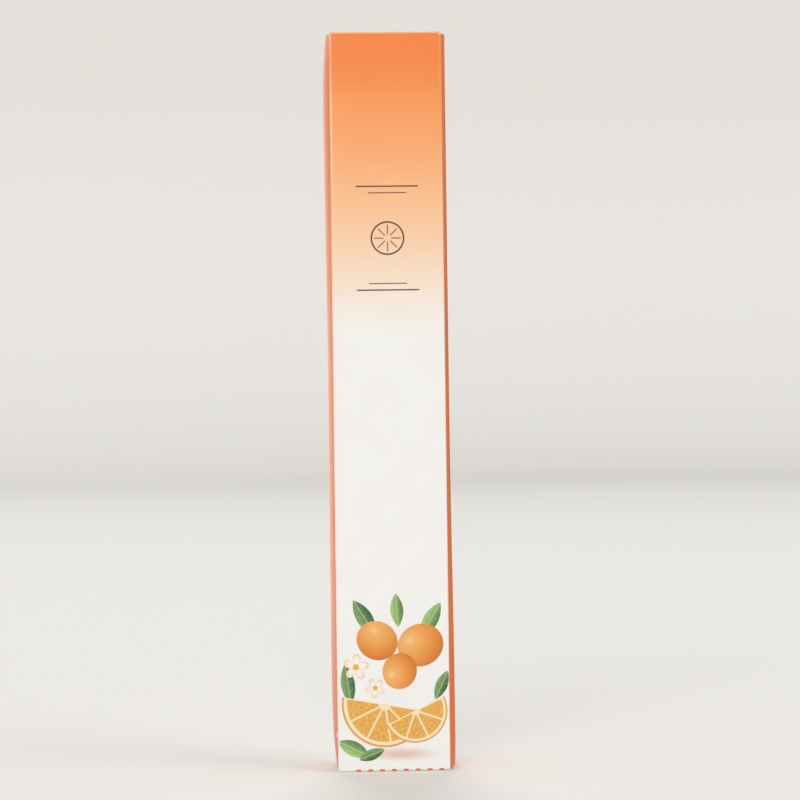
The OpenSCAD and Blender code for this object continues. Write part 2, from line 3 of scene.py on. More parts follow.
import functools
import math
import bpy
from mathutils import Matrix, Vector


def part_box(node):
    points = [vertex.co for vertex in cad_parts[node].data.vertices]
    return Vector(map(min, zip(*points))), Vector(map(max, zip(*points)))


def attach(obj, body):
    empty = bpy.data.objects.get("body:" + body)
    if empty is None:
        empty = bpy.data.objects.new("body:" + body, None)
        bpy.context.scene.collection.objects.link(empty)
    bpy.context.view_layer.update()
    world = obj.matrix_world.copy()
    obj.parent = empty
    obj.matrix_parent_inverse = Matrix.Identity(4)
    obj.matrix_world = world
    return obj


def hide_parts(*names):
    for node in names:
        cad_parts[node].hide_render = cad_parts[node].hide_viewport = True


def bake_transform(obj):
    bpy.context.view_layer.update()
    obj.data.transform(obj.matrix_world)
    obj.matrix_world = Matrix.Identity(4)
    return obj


bl_info = {
    "name": "Nail Oil Pen in Its Carton",
    "version": (1, 0, 0),
    "blender": (4, 5, 0),
    "location": "3D View > Sidebar > Nail Oil Pen",
    "description": "Builds the printed carton, the twist pen inside it and a plain studio around them",
    "category": "Add Mesh",
}

import bmesh
import bpy
from mathutils import Vector

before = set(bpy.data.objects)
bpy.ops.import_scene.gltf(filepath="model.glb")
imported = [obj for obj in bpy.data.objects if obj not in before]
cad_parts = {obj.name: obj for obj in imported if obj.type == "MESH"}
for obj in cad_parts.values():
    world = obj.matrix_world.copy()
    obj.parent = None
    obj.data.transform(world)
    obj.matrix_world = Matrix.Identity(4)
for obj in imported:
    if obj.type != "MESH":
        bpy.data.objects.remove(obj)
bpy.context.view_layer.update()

MM = 0.001
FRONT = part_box("carton_sleeve")[0].y
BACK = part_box("carton_sleeve")[1].y
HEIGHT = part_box("top_lid")[1].z
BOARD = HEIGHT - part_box("top_lid")[0].z
LID_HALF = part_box("top_lid")[1].x
# Half the tube's width at its creases, where a side panel's outer face lies when it isn't bowed
HALF = 11.1 * MM
# Half the width of a lid as it is drawn, almost flush with the side panels
LID_EDGE = HALF - 0.05 * MM
# Outer radius of every fold in the board
FOLD = 0.5 * MM
# Outer radius of the tube's upright creases, which are scored sharper
CREASE = 0.3 * MM
# How far the panels stop short of the carton's ends, and the side panels where a dust flap folds from them
PANEL_END = 0.5 * MM
FLAP_END = 0.85 * MM
# Edges that turn by more than this are rounded
HARD = math.radians(32)
# Places closer together than this count as one
SAME = 1e-6


# ---------------------------------------------------------------- colours and nodes


def ink(text):
    """An sRGB hex colour as the linear colour that a shader takes."""
    parts = [int(text[i : i + 2], 16) / 255 for i in (1, 3, 5)]
    return [p / 12.92 if p <= 0.04045 else ((p + 0.055) / 1.055) ** 2.4 for p in parts] + [1.0]


def add_node(tree, kind, *inputs, stops=(), **named):
    """Adds a shader node with its settings and links.

    A second word in its kind is its operation, data type or vector type. Its inputs come in order, or by their
    names in capitals: each is a value, a hex colour, a socket, or a node whose first result it takes. Names in
    small letters are settings. A colour ramp takes its stops as (place, colour) pairs.
    """
    kind, _, mode = kind.partition(" ")
    node = tree.nodes.new("ShaderNode" + kind)
    if mode:
        setattr(node, {"Mix": "data_type", "Mapping": "vector_type"}.get(kind, "operation"), mode)
    for name in [n for n in named if n.islower()]:
        setattr(node, name, named.pop(name))
    shown = [s for s in node.inputs if s.enabled]
    for socket, value in [*zip(shown, inputs), *((node.inputs[n], v) for n, v in named.items())]:
        if isinstance(value, bpy.types.Node):
            value = next(s for s in value.outputs if s.enabled)
        if isinstance(value, bpy.types.NodeSocket):
            tree.links.new(value, socket)
        else:
            socket.default_value = ink(value) if isinstance(value, str) else value
    for _ in stops[2:]:
        node.color_ramp.elements.new(0.5)
    for i, (place, colour) in enumerate(stops):
        node.color_ramp.elements[i].position = place
        node.color_ramp.elements[i].color = ink(colour) if isinstance(colour, str) else colour
    return node


def fresh_tree(owner):
    """Empties the nodes of a new material or world. What it gives back adds a node to them."""
    owner.use_nodes = True
    owner.node_tree.nodes.clear()
    return functools.partial(add_node, owner.node_tree)


# ---------------------------------------------------------------- steps of modelling


def pick(piece=None):
    """Leaves edit mode, and selects one piece alone, or nothing."""
    if bpy.context.mode != "OBJECT":
        bpy.ops.object.mode_set(mode="OBJECT")
    bpy.ops.object.select_all(action="DESELECT")
    if piece:
        piece.select_set(True)
        bpy.context.view_layer.objects.active = piece


def take_all():
    """Selects all that is being edited."""
    bpy.ops.mesh.select_all(action="SELECT")


def begin(name, primitive, stretch=(1, 1, 1), **size):
    """Adds a primitive at its place, opens it for editing with all else deselected, and stretches it."""
    pick()
    primitive(**size)
    piece = bpy.context.object
    piece.name = piece.data.name = name
    bpy.ops.object.transform_apply(location=True, rotation=True, scale=True)
    bpy.ops.object.mode_set(mode="EDIT")
    bpy.ops.mesh.select_mode(type="VERT")
    take_all()
    bpy.ops.transform.resize(value=stretch, center_override=size.get("location", (0, 0, 0)))
    return piece


def choose(kind, test):
    """Selects the vertices, edges or faces being edited whose corners and normal pass a test."""
    bpy.ops.mesh.select_mode(type=kind)
    bpy.ops.mesh.select_all(action="DESELECT")
    mesh = bpy.context.edit_object.data
    shape = bmesh.from_edit_mesh(mesh)
    for element in {"VERT": shape.verts, "EDGE": shape.edges, "FACE": shape.faces}[kind]:
        corners = [element.co] if kind == "VERT" else [v.co for v in element.verts]
        element.select_set(test(corners, element.normal if kind != "EDGE" else None))
    shape.select_flush_mode()
    bmesh.update_edit_mesh(mesh)


def middle(corners):
    """The middle of some corners."""
    return sum((Vector(c) for c in corners), Vector()) / len(corners)


def recalculate():
    """Makes all the faces that are being edited point outwards."""
    take_all()
    bpy.ops.mesh.normals_make_consistent(inside=False)


def pull(**way):
    """Extrudes what is selected by a distance along x, y or z."""
    bpy.ops.mesh.extrude_region_move(TRANSFORM_OT_translate={"value": [way.get(axis, 0) for axis in "xyz"]})


def span(node):
    """The lowest and highest point of a CAD node, in millimetres."""
    return [corner.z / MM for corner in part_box(node)]


def slice_at(places, axis):
    """Cuts all that is being edited across an axis at each place."""
    for place in places:
        take_all()
        facing = Vector([i == axis for i in range(3)])
        bpy.ops.mesh.bisect(plane_co=place * facing, plane_no=facing)


def modify(piece, kind, **settings):
    """Adds a modifier with its settings and applies it."""
    pick(piece)
    modifier = piece.modifiers.new(kind.title(), kind)
    for name, value in settings.items():
        setattr(modifier, name, value)
    bpy.ops.object.modifier_apply(modifier=modifier.name)


def close(piece, body, materials, nodes=(), smooth=35):
    """Shades and dresses a finished piece, seats it on its body when one is named, else fixes it where it stands, and
    hides the nodes that it stands for.
    """
    pick(piece)
    bpy.ops.object.shade_smooth_by_angle(angle=math.radians(smooth))
    for name in materials:
        piece.data.materials.append(bpy.data.materials[name])
    # Where each point lies while the carton is closed, so that a print stays put on board that bends
    rest = piece.data.attributes.new("closed_place", "FLOAT_VECTOR", "POINT")
    rest.data.foreach_set("vector", [c for v in piece.data.vertices for c in v.co])
    if isinstance(body, str):
        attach(piece, body)
    else:
        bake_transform(piece)
    if nodes:
        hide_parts(*nodes)


def board_up(piece, print_skin):
    """Gives a sheet of outer faces the board's thickness: print outside, raw pulp inside, cut fibres on the rim."""
    pick(piece)
    for name in (print_skin, "raw_pulp_back", "cut_board_edge"):
        piece.data.materials.append(bpy.data.materials[name])
    modify(piece, "SOLIDIFY", thickness=BOARD, offset=-1, material_offset=1, material_offset_rim=2,
           use_even_offset=True)


# ---------------------------------------------------------------- sizes and colours


COLOUR = {"subtype": "COLOR", "size": 4, "min": 0, "max": 1}


class CartonSettings(bpy.types.PropertyGroup):
    """What a user would change on the carton."""

    orange: bpy.props.FloatVectorProperty(
        name="Orange Ink", description="Ink of the side panels", default=ink("#ee7a34"), **COLOUR)
    lid_orange: bpy.props.FloatVectorProperty(
        name="Lid Ink", description="Ink of the lids and their flaps, as at the top of the blend",
        default=ink("#f68a45"), **COLOUR)
    white: bpy.props.FloatVectorProperty(
        name="Coated White", description="Bare clay coating of the front and back panels",
        default=ink("#f9f8f6"), **COLOUR)
    left_bow: bpy.props.FloatProperty(
        name="Left Bow", description="How far the left side panel bows out at most", unit="LENGTH",
        default=1.25 * MM)
    right_bow: bpy.props.FloatProperty(
        name="Right Bow", description="How far the right side panel bows out at most", unit="LENGTH",
        default=1.42 * MM)
    dash_pitch: bpy.props.FloatProperty(
        name="Perforation Pitch", description="Distance between the cuts of the bottom crease", unit="LENGTH",
        default=2.36 * MM)


class PenSettings(bpy.types.PropertyGroup):
    """What a user would change on the pen."""

    white: bpy.props.FloatVectorProperty(
        name="Pen White", description="Moulded ABS of the cap and the knob", default=ink("#efeeea"), **COLOUR)
    strands: bpy.props.IntProperty(
        name="Bristles", description="How many bristles the brush shows", default=260, min=20, max=600)
    softening: bpy.props.FloatProperty(
        name="Edge Softening", description="Width of the moulded edges' bevel", unit="LENGTH",
        default=0.12 * MM)


class StudioSettings(bpy.types.PropertyGroup):
    """What a user would change in the studio."""

    pale: bpy.props.FloatVectorProperty(
        name="Sweep", description="Colour of the floor and the backdrop", default=ink("#dcdad6"), **COLOUR)
    lens: bpy.props.FloatProperty(
        name="Lens", description="Focal length of the camera, in millimetres", default=120.0)
    key_strength: bpy.props.FloatProperty(
        name="Key Strength", description="Strength of the soft lamp at the front left, in watts per square metre",
        default=1.1)


# ---------------------------------------------------------------- printed design


def leaf_print(add, base, spot, place, turn, half, wide, pale, deep):
    """Prints one pointed leaf over a colour. Its outline is a parabola on each side of the midrib."""
    local = add("Mapping TEXTURE", spot, (*place, 0), (0, 0, math.radians(turn)), (1, 1, 1))
    along, across, _ = add("SeparateXYZ", local).outputs
    share = add("Math DIVIDE", along, half)
    squared = add("Math MULTIPLY", share, share)
    side = add("Math ABSOLUTE", across)
    edge = add("Math MULTIPLY_ADD", squared, -wide, wide)
    inside = add("Math SUBTRACT", edge, side)
    mask = add("MapRange", inside, -0.03, 0.05)
    lit = add("MapRange", across, -wide * 0.7, wide * 0.7)
    green = add("Mix RGBA", lit, deep, pale)
    # Side veins run forward from the midrib, 0.9 mm apart
    run = add("Math MULTIPLY_ADD", side, -0.8, along)
    vein = add("MapRange", add("Math PINGPONG", run, 0.9), 0.0, 0.09, 0.28, 0.0)
    rib = add("MapRange", side, 0.06, 0.14, 0.5, 0.0)
    line = add("Math MAXIMUM", vein, rib)
    green = add("Mix RGBA", line, green, "#dce9b4")
    return add("Mix RGBA", mask, base, green)


def fruit_print(add, base, spot, place, radius, stretch, turn):
    """Prints one small whole fruit over a colour, lit from the upper left, with dimpled zest."""
    local = add("Mapping TEXTURE", spot, (*place, 0), (0, 0, math.radians(turn)), (stretch, 1, 1))
    far = add("VectorMath LENGTH", local)
    mask = add("MapRange", far, radius + 0.04, radius - 0.04)
    lamp = add("VectorMath DISTANCE", local, (-radius * 0.35, radius * 0.4, 0))
    dimples = add("TexNoise", Vector=local, Scale=4.5, Detail=1.0)
    depth = add("Math MULTIPLY_ADD", dimples, radius * 0.22, lamp)
    share = add("MapRange", depth, 0.0, radius * 1.6)
    skin = add("ValToRGB", share, stops=[(0.0, "#fbdca6"), (0.22, "#f6b76a"), (0.62, "#ee9c45"), (1.0, "#d97a2b")])
    return add("Mix RGBA", mask, base, skin)


def slice_print(add, base, spot, place, radius, turn, count):
    """Prints one half-moon slice over a colour: zest, pith, pulp in wedges and a straight cut edge."""
    local = add("Mapping TEXTURE", spot, (*place, 0), (0, 0, math.radians(turn)), (1, 1, 1))
    along, across, _ = add("SeparateXYZ", local).outputs
    far = add("VectorMath LENGTH", local)
    disc = add("MapRange", far, radius + 0.04, radius - 0.04)
    above = add("MapRange", across, -0.04, 0.04)
    mask = add("Math MULTIPLY", disc, above)
    angle = add("Math ARCTAN2", across, along)
    wedge = add("Math PINGPONG", angle, math.pi / count)
    # Distance to the nearest membrane in millimetres; each wedge spans twice the ping-pong's reach
    gap = add("Math MULTIPLY", wedge, far)
    grain = add("CombineXYZ", angle, far, 0.0)
    grain = add("Mapping", grain, (0, 0, 0), (0, 0, 0), (9, 0.9, 1))
    cells = add("TexNoise", Vector=grain, Scale=1.6, Detail=2.0)
    pulp = add("ValToRGB", cells, stops=[(0.25, "#e2983a"), (0.5, "#ecb052"), (0.75, "#f6cb77")])
    thin = add("MapRange", gap, 0.1, 0.26, 1.0, 0.0)
    heart = add("MapRange", far, radius * 0.13, radius * 0.17, 1.0, 0.0)
    rim = add("MapRange", far, radius * 0.86, radius * 0.89)
    flat = add("MapRange", across, 0.18, 0.3, 1.0, 0.0)
    white = add("Math MAXIMUM", add("Math MAXIMUM", thin, heart), add("Math MAXIMUM", rim, flat))
    flesh = add("Mix RGBA", white, pulp, "#fbeec3")
    zest = add("MapRange", far, radius * 0.945, radius * 0.96)
    flesh = add("Mix RGBA", zest, flesh, "#eda04a")
    return add("Mix RGBA", mask, base, flesh)


def blossom_print(add, base, spot, place, radius, turn):
    """Prints one five-petalled blossom over a colour, with a ring of yellow stamens."""
    local = add("Mapping TEXTURE", spot, (*place, 0), (0, 0, math.radians(turn)), (1, 1, 1))
    along, across, _ = add("SeparateXYZ", local).outputs
    far = add("VectorMath LENGTH", local)
    angle = add("Math ARCTAN2", across, along)
    lobe = add("Math COSINE", add("Math MULTIPLY", angle, 2.5))
    lobe = add("Math POWER", add("Math ABSOLUTE", lobe), 0.45)
    inside = add("Math SUBTRACT", add("Math MULTIPLY", lobe, radius), far)
    mask = add("MapRange", inside, -0.03, 0.04)
    # The petals shade to a soft orange at their edge, which parts them from the white board
    petal = add("ValToRGB", add("MapRange", inside, 0.0, radius * 0.5), stops=[
        (0.0, "#eab98c"), (0.25, "#fbe9d6"), (1.0, "#fffaf0")])
    stamens = add("MapRange", far, radius * 0.2, radius * 0.28, 1.0, 0.0)
    flower = add("Mix RGBA", stamens, petal, "#eeb637")
    return add("Mix RGBA", mask, base, flower)


def front_design(add, base, x, z):
    """Prints the generic citrus design over the foot of the front panel. x and z are in millimetres."""
    spot = add("CombineXYZ", x, z, 0.0)
    blur = add("Mapping TEXTURE", spot, (1.2, 3.4, 0), (0, 0, 0), (8.6, 1.5, 1))
    shade = add("MapRange", add("VectorMath LENGTH", blur), 1.0, 0.2, 0.0, 0.6)
    base = add("Mix RGBA", shade, base, "#e3a184")
    pale, deep = "#a5cb78", "#5d8a4c"
    dusk_pale, dusk_deep = "#7fa765", "#3f6640"
    # Each leaf as its place, its turn in degrees, half its length, half its width and its two greens
    for place, turn, half, wide, light, dark in (
        ((7.6, 30.0), 60, 4.0, 1.5, pale, deep), ((-5.6, 30.6), 122, 4.2, 1.6, dusk_pale, dusk_deep),
        ((0.9, 32.0), 94, 3.4, 1.3, pale, deep), ((-9.0, 17.4), 98, 4.2, 1.4, dusk_pale, dusk_deep),
        ((-8.0, 4.6), 154, 3.6, 1.5, pale, deep), ((-4.4, 3.4), 22, 2.8, 1.1, dusk_pale, dusk_deep),
        ((9.6, 17.0), 66, 3.2, 1.2, dusk_pale, dusk_deep),
    ):
        base = leaf_print(add, base, spot, place, turn, half, wide, light, dark)
    # Each fruit as its place, its radius, how far it is stretched, and its turn
    for place, radius, stretch, turn in (
        ((5.5, 25.0), 4.2, 1.1, 24), ((-3.1, 26.0), 3.8, 1.1, -30), ((1.3, 19.9), 3.4, 1.06, 70)):
        base = fruit_print(add, base, spot, place, radius, stretch, turn)
    base = slice_print(add, base, spot, (-1.7, 13.4), 8.6, 170, 10)
    base = slice_print(add, base, spot, (4.3, 12.0), 6.4, 206, 8)
    base = blossom_print(add, base, spot, (-7.4, 20.8), 2.6, 12)
    return blossom_print(add, base, spot, (-3.6, 16.6), 2.0, 48)


def rule_ornament(add, base, x, z):
    """Prints two thin brown rules with a small eight-spoked wheel between them, high on the front panel."""
    beside = add("Math ABSOLUTE", x)
    rules = None
    # Each rule as its height, half its length and half its thickness
    for height, half, thick in ((116.2, 6.2, 0.14), (114.9, 3.8, 0.1), (95.6, 6.2, 0.14), (96.9, 3.8, 0.1)):
        off = add("Math ABSOLUTE", add("Math SUBTRACT", z, height))
        line = add("MapRange", off, thick + 0.04, thick - 0.04)
        ends = add("MapRange", beside, half + 0.04, half - 0.04)
        line = add("Math MULTIPLY", line, ends)
        rules = line if rules is None else add("Math MAXIMUM", rules, line)
    up = add("Math SUBTRACT", z, 105.9)
    far = add("VectorMath LENGTH", add("CombineXYZ", x, up, 0.0))
    ring = add("Math ABSOLUTE", add("Math SUBTRACT", far, 3.2))
    ring = add("MapRange", ring, 0.2, 0.12)
    angle = add("Math ARCTAN2", up, x)
    near = add("Math MULTIPLY", add("Math PINGPONG", angle, math.pi / 8), far)
    spoke = add("MapRange", near, 0.14, 0.06)
    inner = add("MapRange", far, 2.7, 2.6)
    outer = add("MapRange", far, 0.7, 0.8)
    spoke = add("Math MULTIPLY", add("Math MULTIPLY", spoke, inner), outer)
    mask = add("Math MAXIMUM", add("Math MAXIMUM", rules, ring), spoke)
    return add("Mix RGBA", mask, base, "#5c3a26")


# ---------------------------------------------------------------- board materials


def board_bump(add, place):
    """Fine unevenness of coated board: long fibres under the clay, about 0.6 mm apart, and a broader cockle."""
    fibres = add("TexNoise", Vector=place, Scale=1600.0, Detail=3.0, Roughness=0.6)
    cockle = add("TexNoise", Vector=place, Scale=55.0, Detail=1.0)
    rough = add("Math MULTIPLY_ADD", cockle, 6.0, fibres)
    return add("Bump", Strength=0.35, Distance=0.00002, Height=rough)


def crease_wear_and_highlight(add, colour, spot, place):
    """Lightens a colour along the upright creases, partly for ink stretched there and partly as a painted highlight
    that is strongest on the left, and breaks it off in small chips.
    """
    x, y, z = add("SeparateXYZ", spot).outputs
    side = add("Math ABSOLUTE", add("Math SUBTRACT", add("Math ABSOLUTE", x), 10.95))
    face = add("Math ABSOLUTE", add("Math SUBTRACT", add("Math ABSOLUTE", y), 7.9))
    line = add("MapRange", add("Math MAXIMUM", side, face), 0.34, 0.1)
    # Painted highlight: the creases on the left, where the light falls, are lightened the most
    highlight_side_share = add("MapRange", x, -1.0, 1.0, 0.75, 0.16)
    patchy = add("TexNoise", Vector=place, Scale=130.0, Detail=3.0)
    patchy = add("MapRange", patchy, 0.3, 0.6, 0.45, 1.0)
    stretch_and_highlight = add("Math MULTIPLY", add("Math MULTIPLY", line, highlight_side_share), patchy)
    # The painted highlight and stretched ink are whitish low down and pale yellow higher up
    bare = add("Mix RGBA", add("MapRange", z, 60.0, 105.0), "#fbf5ef", "#ffe2b6")
    colour = add("Mix RGBA", stretch_and_highlight, colour, bare)
    flecks = add("TexNoise", Vector=place, Scale=1100.0, Detail=4.0, Roughness=0.7)
    chips = None
    # Each chip as its place on the creases and how far it reaches
    for corner, reach in (
        ((11.1, -7.9, 146.6), 0.6), ((-11.1, -7.9, 146.6), 0.5), ((-11.4, -7.3, 7.3), 0.75),
        ((-11.1, -7.9, 0.9), 0.8), ((11.1, 7.9, 146.3), 0.8), ((-11.1, 7.9, 0.7), 0.8), ((11.4, -7.6, 61.0), 0.45),
    ):
        away = add("VectorMath DISTANCE", spot, corner)
        ragged = add("Math MULTIPLY_ADD", flecks, 0.9, away)
        chip = add("MapRange", ragged, reach + 0.3, reach + 0.2)
        chips = chip if chips is None else add("Math MAXIMUM", chips, chip)
    return add("Mix RGBA", chips, colour, "#fbf4ea")


def printed_carton_board(settings):
    """Coated folding boxboard, offset printed and gloss varnished: flat ink under a thin clear coat."""
    add = fresh_tree(bpy.data.materials.new("printed_carton_board"))
    place = add("TexCoord").outputs["Object"]
    spot = add("VectorMath MULTIPLY", place, (1 / MM, 1 / MM, 1 / MM))
    x, y, z = add("SeparateXYZ", spot).outputs
    # The blend fades from bare white at 85 mm to full orange at the top
    share = add("MapRange", z, 80.0, 147.0)
    blend = add("ValToRGB", share, stops=[
        (0.0, settings.white), (0.09, settings.white), (0.15, "#faf4ee"), (0.205, "#fceee1"),
        (0.265, "#fde6cd"), (0.325, "#fedec0"), (0.385, "#fed4ae"), (0.5, "#ffc593"),
        (0.56, "#ffbd87"), (0.62, "#ffb378"), (0.74, "#fea464"), (0.8, "#fd9c58"),
        (0.86, "#fb9148"), (0.92, "#fa8a42"), (1.0, "#f98740")])
    front = front_design(add, blend, x, z)
    front = rule_ornament(add, front, x, z)
    is_front = add("MapRange", y, -7.55, -7.6)
    is_back = add("MapRange", y, 7.55, 7.6)
    colour = add("Mix RGBA", is_front, settings.orange, front)
    colour = add("Mix RGBA", is_back, colour, blend)
    colour = crease_wear_and_highlight(add, colour, spot, place)
    # A press sheet varies a little in density
    density = add("TexNoise", Vector=place, Scale=140.0, Detail=2.0)
    colour = add("Mix RGBA", add("MapRange", density, 0.3, 0.7, 0.0, 0.05), colour, "#d9c7b6", blend_type="MULTIPLY")
    add("OutputMaterial", add("BsdfPrincipled", Roughness=0.45, IOR=1.42, Normal=board_bump(add, place), **{
        "Base Color": colour, "Coat Weight": 0.05, "Coat Roughness": 0.25}))


def orange_closure_board(settings):
    """The same coated board where it is printed solid orange, on lids, tuck flaps and dust flaps."""
    add = fresh_tree(bpy.data.materials.new("orange_closure_board"))
    place = add("Attribute", attribute_name="closed_place").outputs["Vector"]
    x, y, z = add("SeparateXYZ", add("VectorMath MULTIPLY", place, (1 / MM, 1 / MM, 1 / MM))).outputs
    density = add("TexNoise", Vector=place, Scale=140.0, Detail=2.0)
    colour = add("Mix RGBA", add("MapRange", density, 0.3, 0.7, 0.0, 0.1), settings.lid_orange, "#e87a36")
    # Painted highlight along the top lid's front and back folds, where they catch the light; it also stands for the
    # paler ink stretched round them
    folded = add("MapRange", z, 146.45, 146.7)
    front = add("MapRange", add("Math ABSOLUTE", y), 6.9, 7.2, 0.0, 0.8)
    colour = add("Mix RGBA", add("Math MULTIPLY", folded, front), colour, "#ffc596")
    # Along the front fold of the bottom the board is cut through in eight dashes, and its stubs keep their white
    at_foot = add("MapRange", z, 0.66, 0.62)
    at_fold = add("MapRange", y, -7.42, -7.5)
    beat = add("Math PINGPONG", x, settings.dash_pitch / MM / 2)
    worn = add("MapRange", x, -8.2, -8.3)
    stub = add("Math MAXIMUM", add("MapRange", beat, 0.42, 0.56), worn)
    stub = add("Math MULTIPLY", stub, add("Math MULTIPLY", at_foot, at_fold))
    colour = add("Mix RGBA", stub, colour, settings.white)
    flecks = add("TexNoise", Vector=place, Scale=1100.0, Detail=4.0, Roughness=0.7)
    rim = add("MapRange", add("Math ABSOLUTE", x), 10.3, 10.75, 0.0, 0.12)
    crack = add("MapRange", add("Math ADD", rim, flecks), 0.78, 0.84)
    colour = add("Mix RGBA", crack, colour, "#f6efe4")
    add("OutputMaterial", add("BsdfPrincipled", Roughness=0.45, IOR=1.48, Normal=board_bump(add, place), **{
        "Base Color": colour, "Coat Weight": 0.12, "Coat Roughness": 0.25}))


def raw_pulp_back():
    """Uncoated back of folding boxboard: matt, warm grey-white, with fibres and a few dark specks."""
    add = fresh_tree(bpy.data.materials.new("raw_pulp_back"))
    place = add("TexCoord").outputs["Object"]
    # Fibres lie along the board's grain, up the carton, about 0.15 mm wide and 1.5 mm long
    grain = add("Mapping", place, (0, 0, 0), (0, 0, 0), (1, 1, 0.12))
    fibres = add("TexNoise", Vector=grain, Scale=5200.0, Detail=4.0, Roughness=0.65)
    tone = add("ValToRGB", fibres, stops=[(0.3, "#d3ccbf"), (0.5, "#e3ddd2"), (0.7, "#efeae1")])
    specks = add("TexNoise", Vector=place, Scale=2300.0, Detail=2.0)
    dark = add("MapRange", specks, 0.72, 0.78, 0.0, 0.6)
    colour = add("Mix RGBA", dark, tone, "#8d8069")
    bump = add("Bump", Strength=0.3, Distance=0.00003, Height=fibres)
    add("OutputMaterial", add("BsdfPrincipled", Roughness=0.88, IOR=1.45, Normal=bump, **{"Base Color": colour}))


def mottled(name, grain, tones, relief, **values):
    """A material whose tone follows one noise of (scale, detail, roughness), as its relief does if it has any."""
    add = fresh_tree(bpy.data.materials.new(name))
    pattern = add("TexNoise", Vector=add("TexCoord").outputs["Object"], Scale=grain[0], Detail=grain[1],
                  Roughness=grain[2])
    values["Base Color"] = add("ValToRGB", pattern, stops=tones)
    if relief:
        strength, depth = relief
        values["Normal"] = add("Bump", Strength=strength, Distance=depth, Height=pattern)
    add("OutputMaterial", add("BsdfPrincipled", **values))


def cut_board_edge():
    """Die-cut edge of the board: matt, with its plies as fine lines, drawn 0.12 mm apart so that they show."""
    mottled("cut_board_edge", (7000.0, 3.0, 0.7), [(0.3, "#cfc6b5"), (0.7, "#f3eee4")], (0.6, 0.00004),
            Roughness=0.92, IOR=1.45)


# ---------------------------------------------------------------- pen materials


def glossy_white_abs(settings):
    """Injection moulded ABS from a polished tool: a bright skin with faint sink marks."""
    add = fresh_tree(bpy.data.materials.new("glossy_white_abs"))
    place = add("TexCoord").outputs["Object"]
    sink = add("TexNoise", Vector=place, Scale=180.0, Detail=2.0)
    # The sink marks are also darkened in colour: painted shade in their shallow dents
    shade = add("MapRange", sink, 0.3, 0.7, 0.0, 0.12)
    colour = add("Mix RGBA", shade, settings.white, "#dedcd4")
    bump = add("Bump", Strength=0.12, Distance=0.00002, Height=sink)
    add("OutputMaterial", add("BsdfPrincipled", Roughness=0.24, IOR=1.53, Normal=bump, **{
        "Base Color": colour, "Coat Weight": 0.2}))


def clear_petg():
    """Clear injection moulded PETG: glassy, with a trace of flow lines up the barrel."""
    add = fresh_tree(bpy.data.materials.new("clear_petg"))
    place = add("TexCoord").outputs["Object"]
    drawn = add("Mapping", place, (0, 0, 0), (0, 0, 0), (1, 1, 0.08))
    flow = add("TexNoise", Vector=drawn, Scale=900.0, Detail=2.0)
    bump = add("Bump", Strength=0.1, Distance=0.00001, Height=flow)
    glass = add("BsdfPrincipled", Roughness=0.05, IOR=1.57, Normal=bump,
                **{"Base Color": "#f8fcfb", "Transmission Weight": 1.0})
    # Lamps reach the parts inside through the wall
    add("OutputMaterial", add("MixShader", add("LightPath").outputs["Is Shadow Ray"], glass,
                              add("BsdfTransparent", "#e9f1ef")))


def turned_pom():
    """Natural acetal of the drive parts: milky, waxy and a little translucent, with tool marks round it."""
    add = fresh_tree(bpy.data.materials.new("turned_pom"))
    place = add("TexCoord").outputs["Object"]
    marks = add("TexWave", Vector=place, Scale=900.0, Distortion=1.5, Detail=2.0, bands_direction="Z")
    tone = add("Mix RGBA", add("MapRange", marks.outputs[1], 0.0, 1.0, 0.0, 0.2), "#e4e3dc", "#d0cfc6")
    bump = add("Bump", Strength=0.15, Distance=0.00001, Height=marks.outputs[1])
    add("OutputMaterial", add("BsdfPrincipled", Roughness=0.38, IOR=1.48, Normal=bump, **{
        "Base Color": tone, "Subsurface Weight": 0.15, "Subsurface Radius": (0.002, 0.002, 0.0018),
        "Subsurface Scale": 0.4}))


def soft_pe():
    """Low-density polyethylene of liner and piston: cloudy, soft and satin."""
    mottled("soft_pe", (420.0, 3.0, 0.5), [(0.3, "#d4dddd"), (0.7, "#eaf0ef")], (0.2, 0.00002), Roughness=0.5,
            IOR=1.51, **{"Subsurface Weight": 0.35, "Subsurface Radius": (0.003, 0.003, 0.003),
                         "Subsurface Scale": 0.5})


def drawn_steel():
    """Bright drawn stainless steel: mirror-like, with hairlines along its length."""
    add = fresh_tree(bpy.data.materials.new("drawn_steel"))
    place = add("TexCoord").outputs["Object"]
    drawn = add("Mapping", place, (0, 0, 0), (0, 0, 0), (1, 1, 0.05))
    lines = add("TexNoise", Vector=drawn, Scale=6000.0, Detail=2.0)
    gloss = add("MapRange", lines, 0.3, 0.7, 0.14, 0.3)
    bump = add("Bump", Strength=0.15, Distance=0.000005, Height=lines)
    add("OutputMaterial", add("BsdfPrincipled", Metallic=1.0, Roughness=gloss, Normal=bump, **{
        "Base Color": "#c9cbcd"}))


def seal_rubber():
    """Moulded nitrile rubber: near black, with a dull bloom."""
    mottled("seal_rubber", (1500.0, 3.0, 0.5), [(0.35, "#26262a"), (0.75, "#3f3f44")], None, Roughness=0.6, IOR=1.52)


def nylon_filament():
    """Extruded nylon filament: cream, glossy and slightly clear, darker where it leaves the ferrule."""
    add = fresh_tree(bpy.data.materials.new("nylon_filament"))
    place = add("TexCoord").outputs["Object"]
    height = add("SeparateXYZ", place).outputs[2]
    share = add("MapRange", height, 0.1115, 0.1257)
    tone = add("ValToRGB", share, stops=[(0.0, "#cfc3a4"), (0.3, "#e6dcc2"), (1.0, "#f1ead7")])
    add("OutputMaterial", add("BsdfPrincipled", Roughness=0.3, IOR=1.53, **{
        "Base Color": tone, "Subsurface Weight": 0.2, "Subsurface Radius": (0.001, 0.001, 0.001),
        "Subsurface Scale": 0.3}))


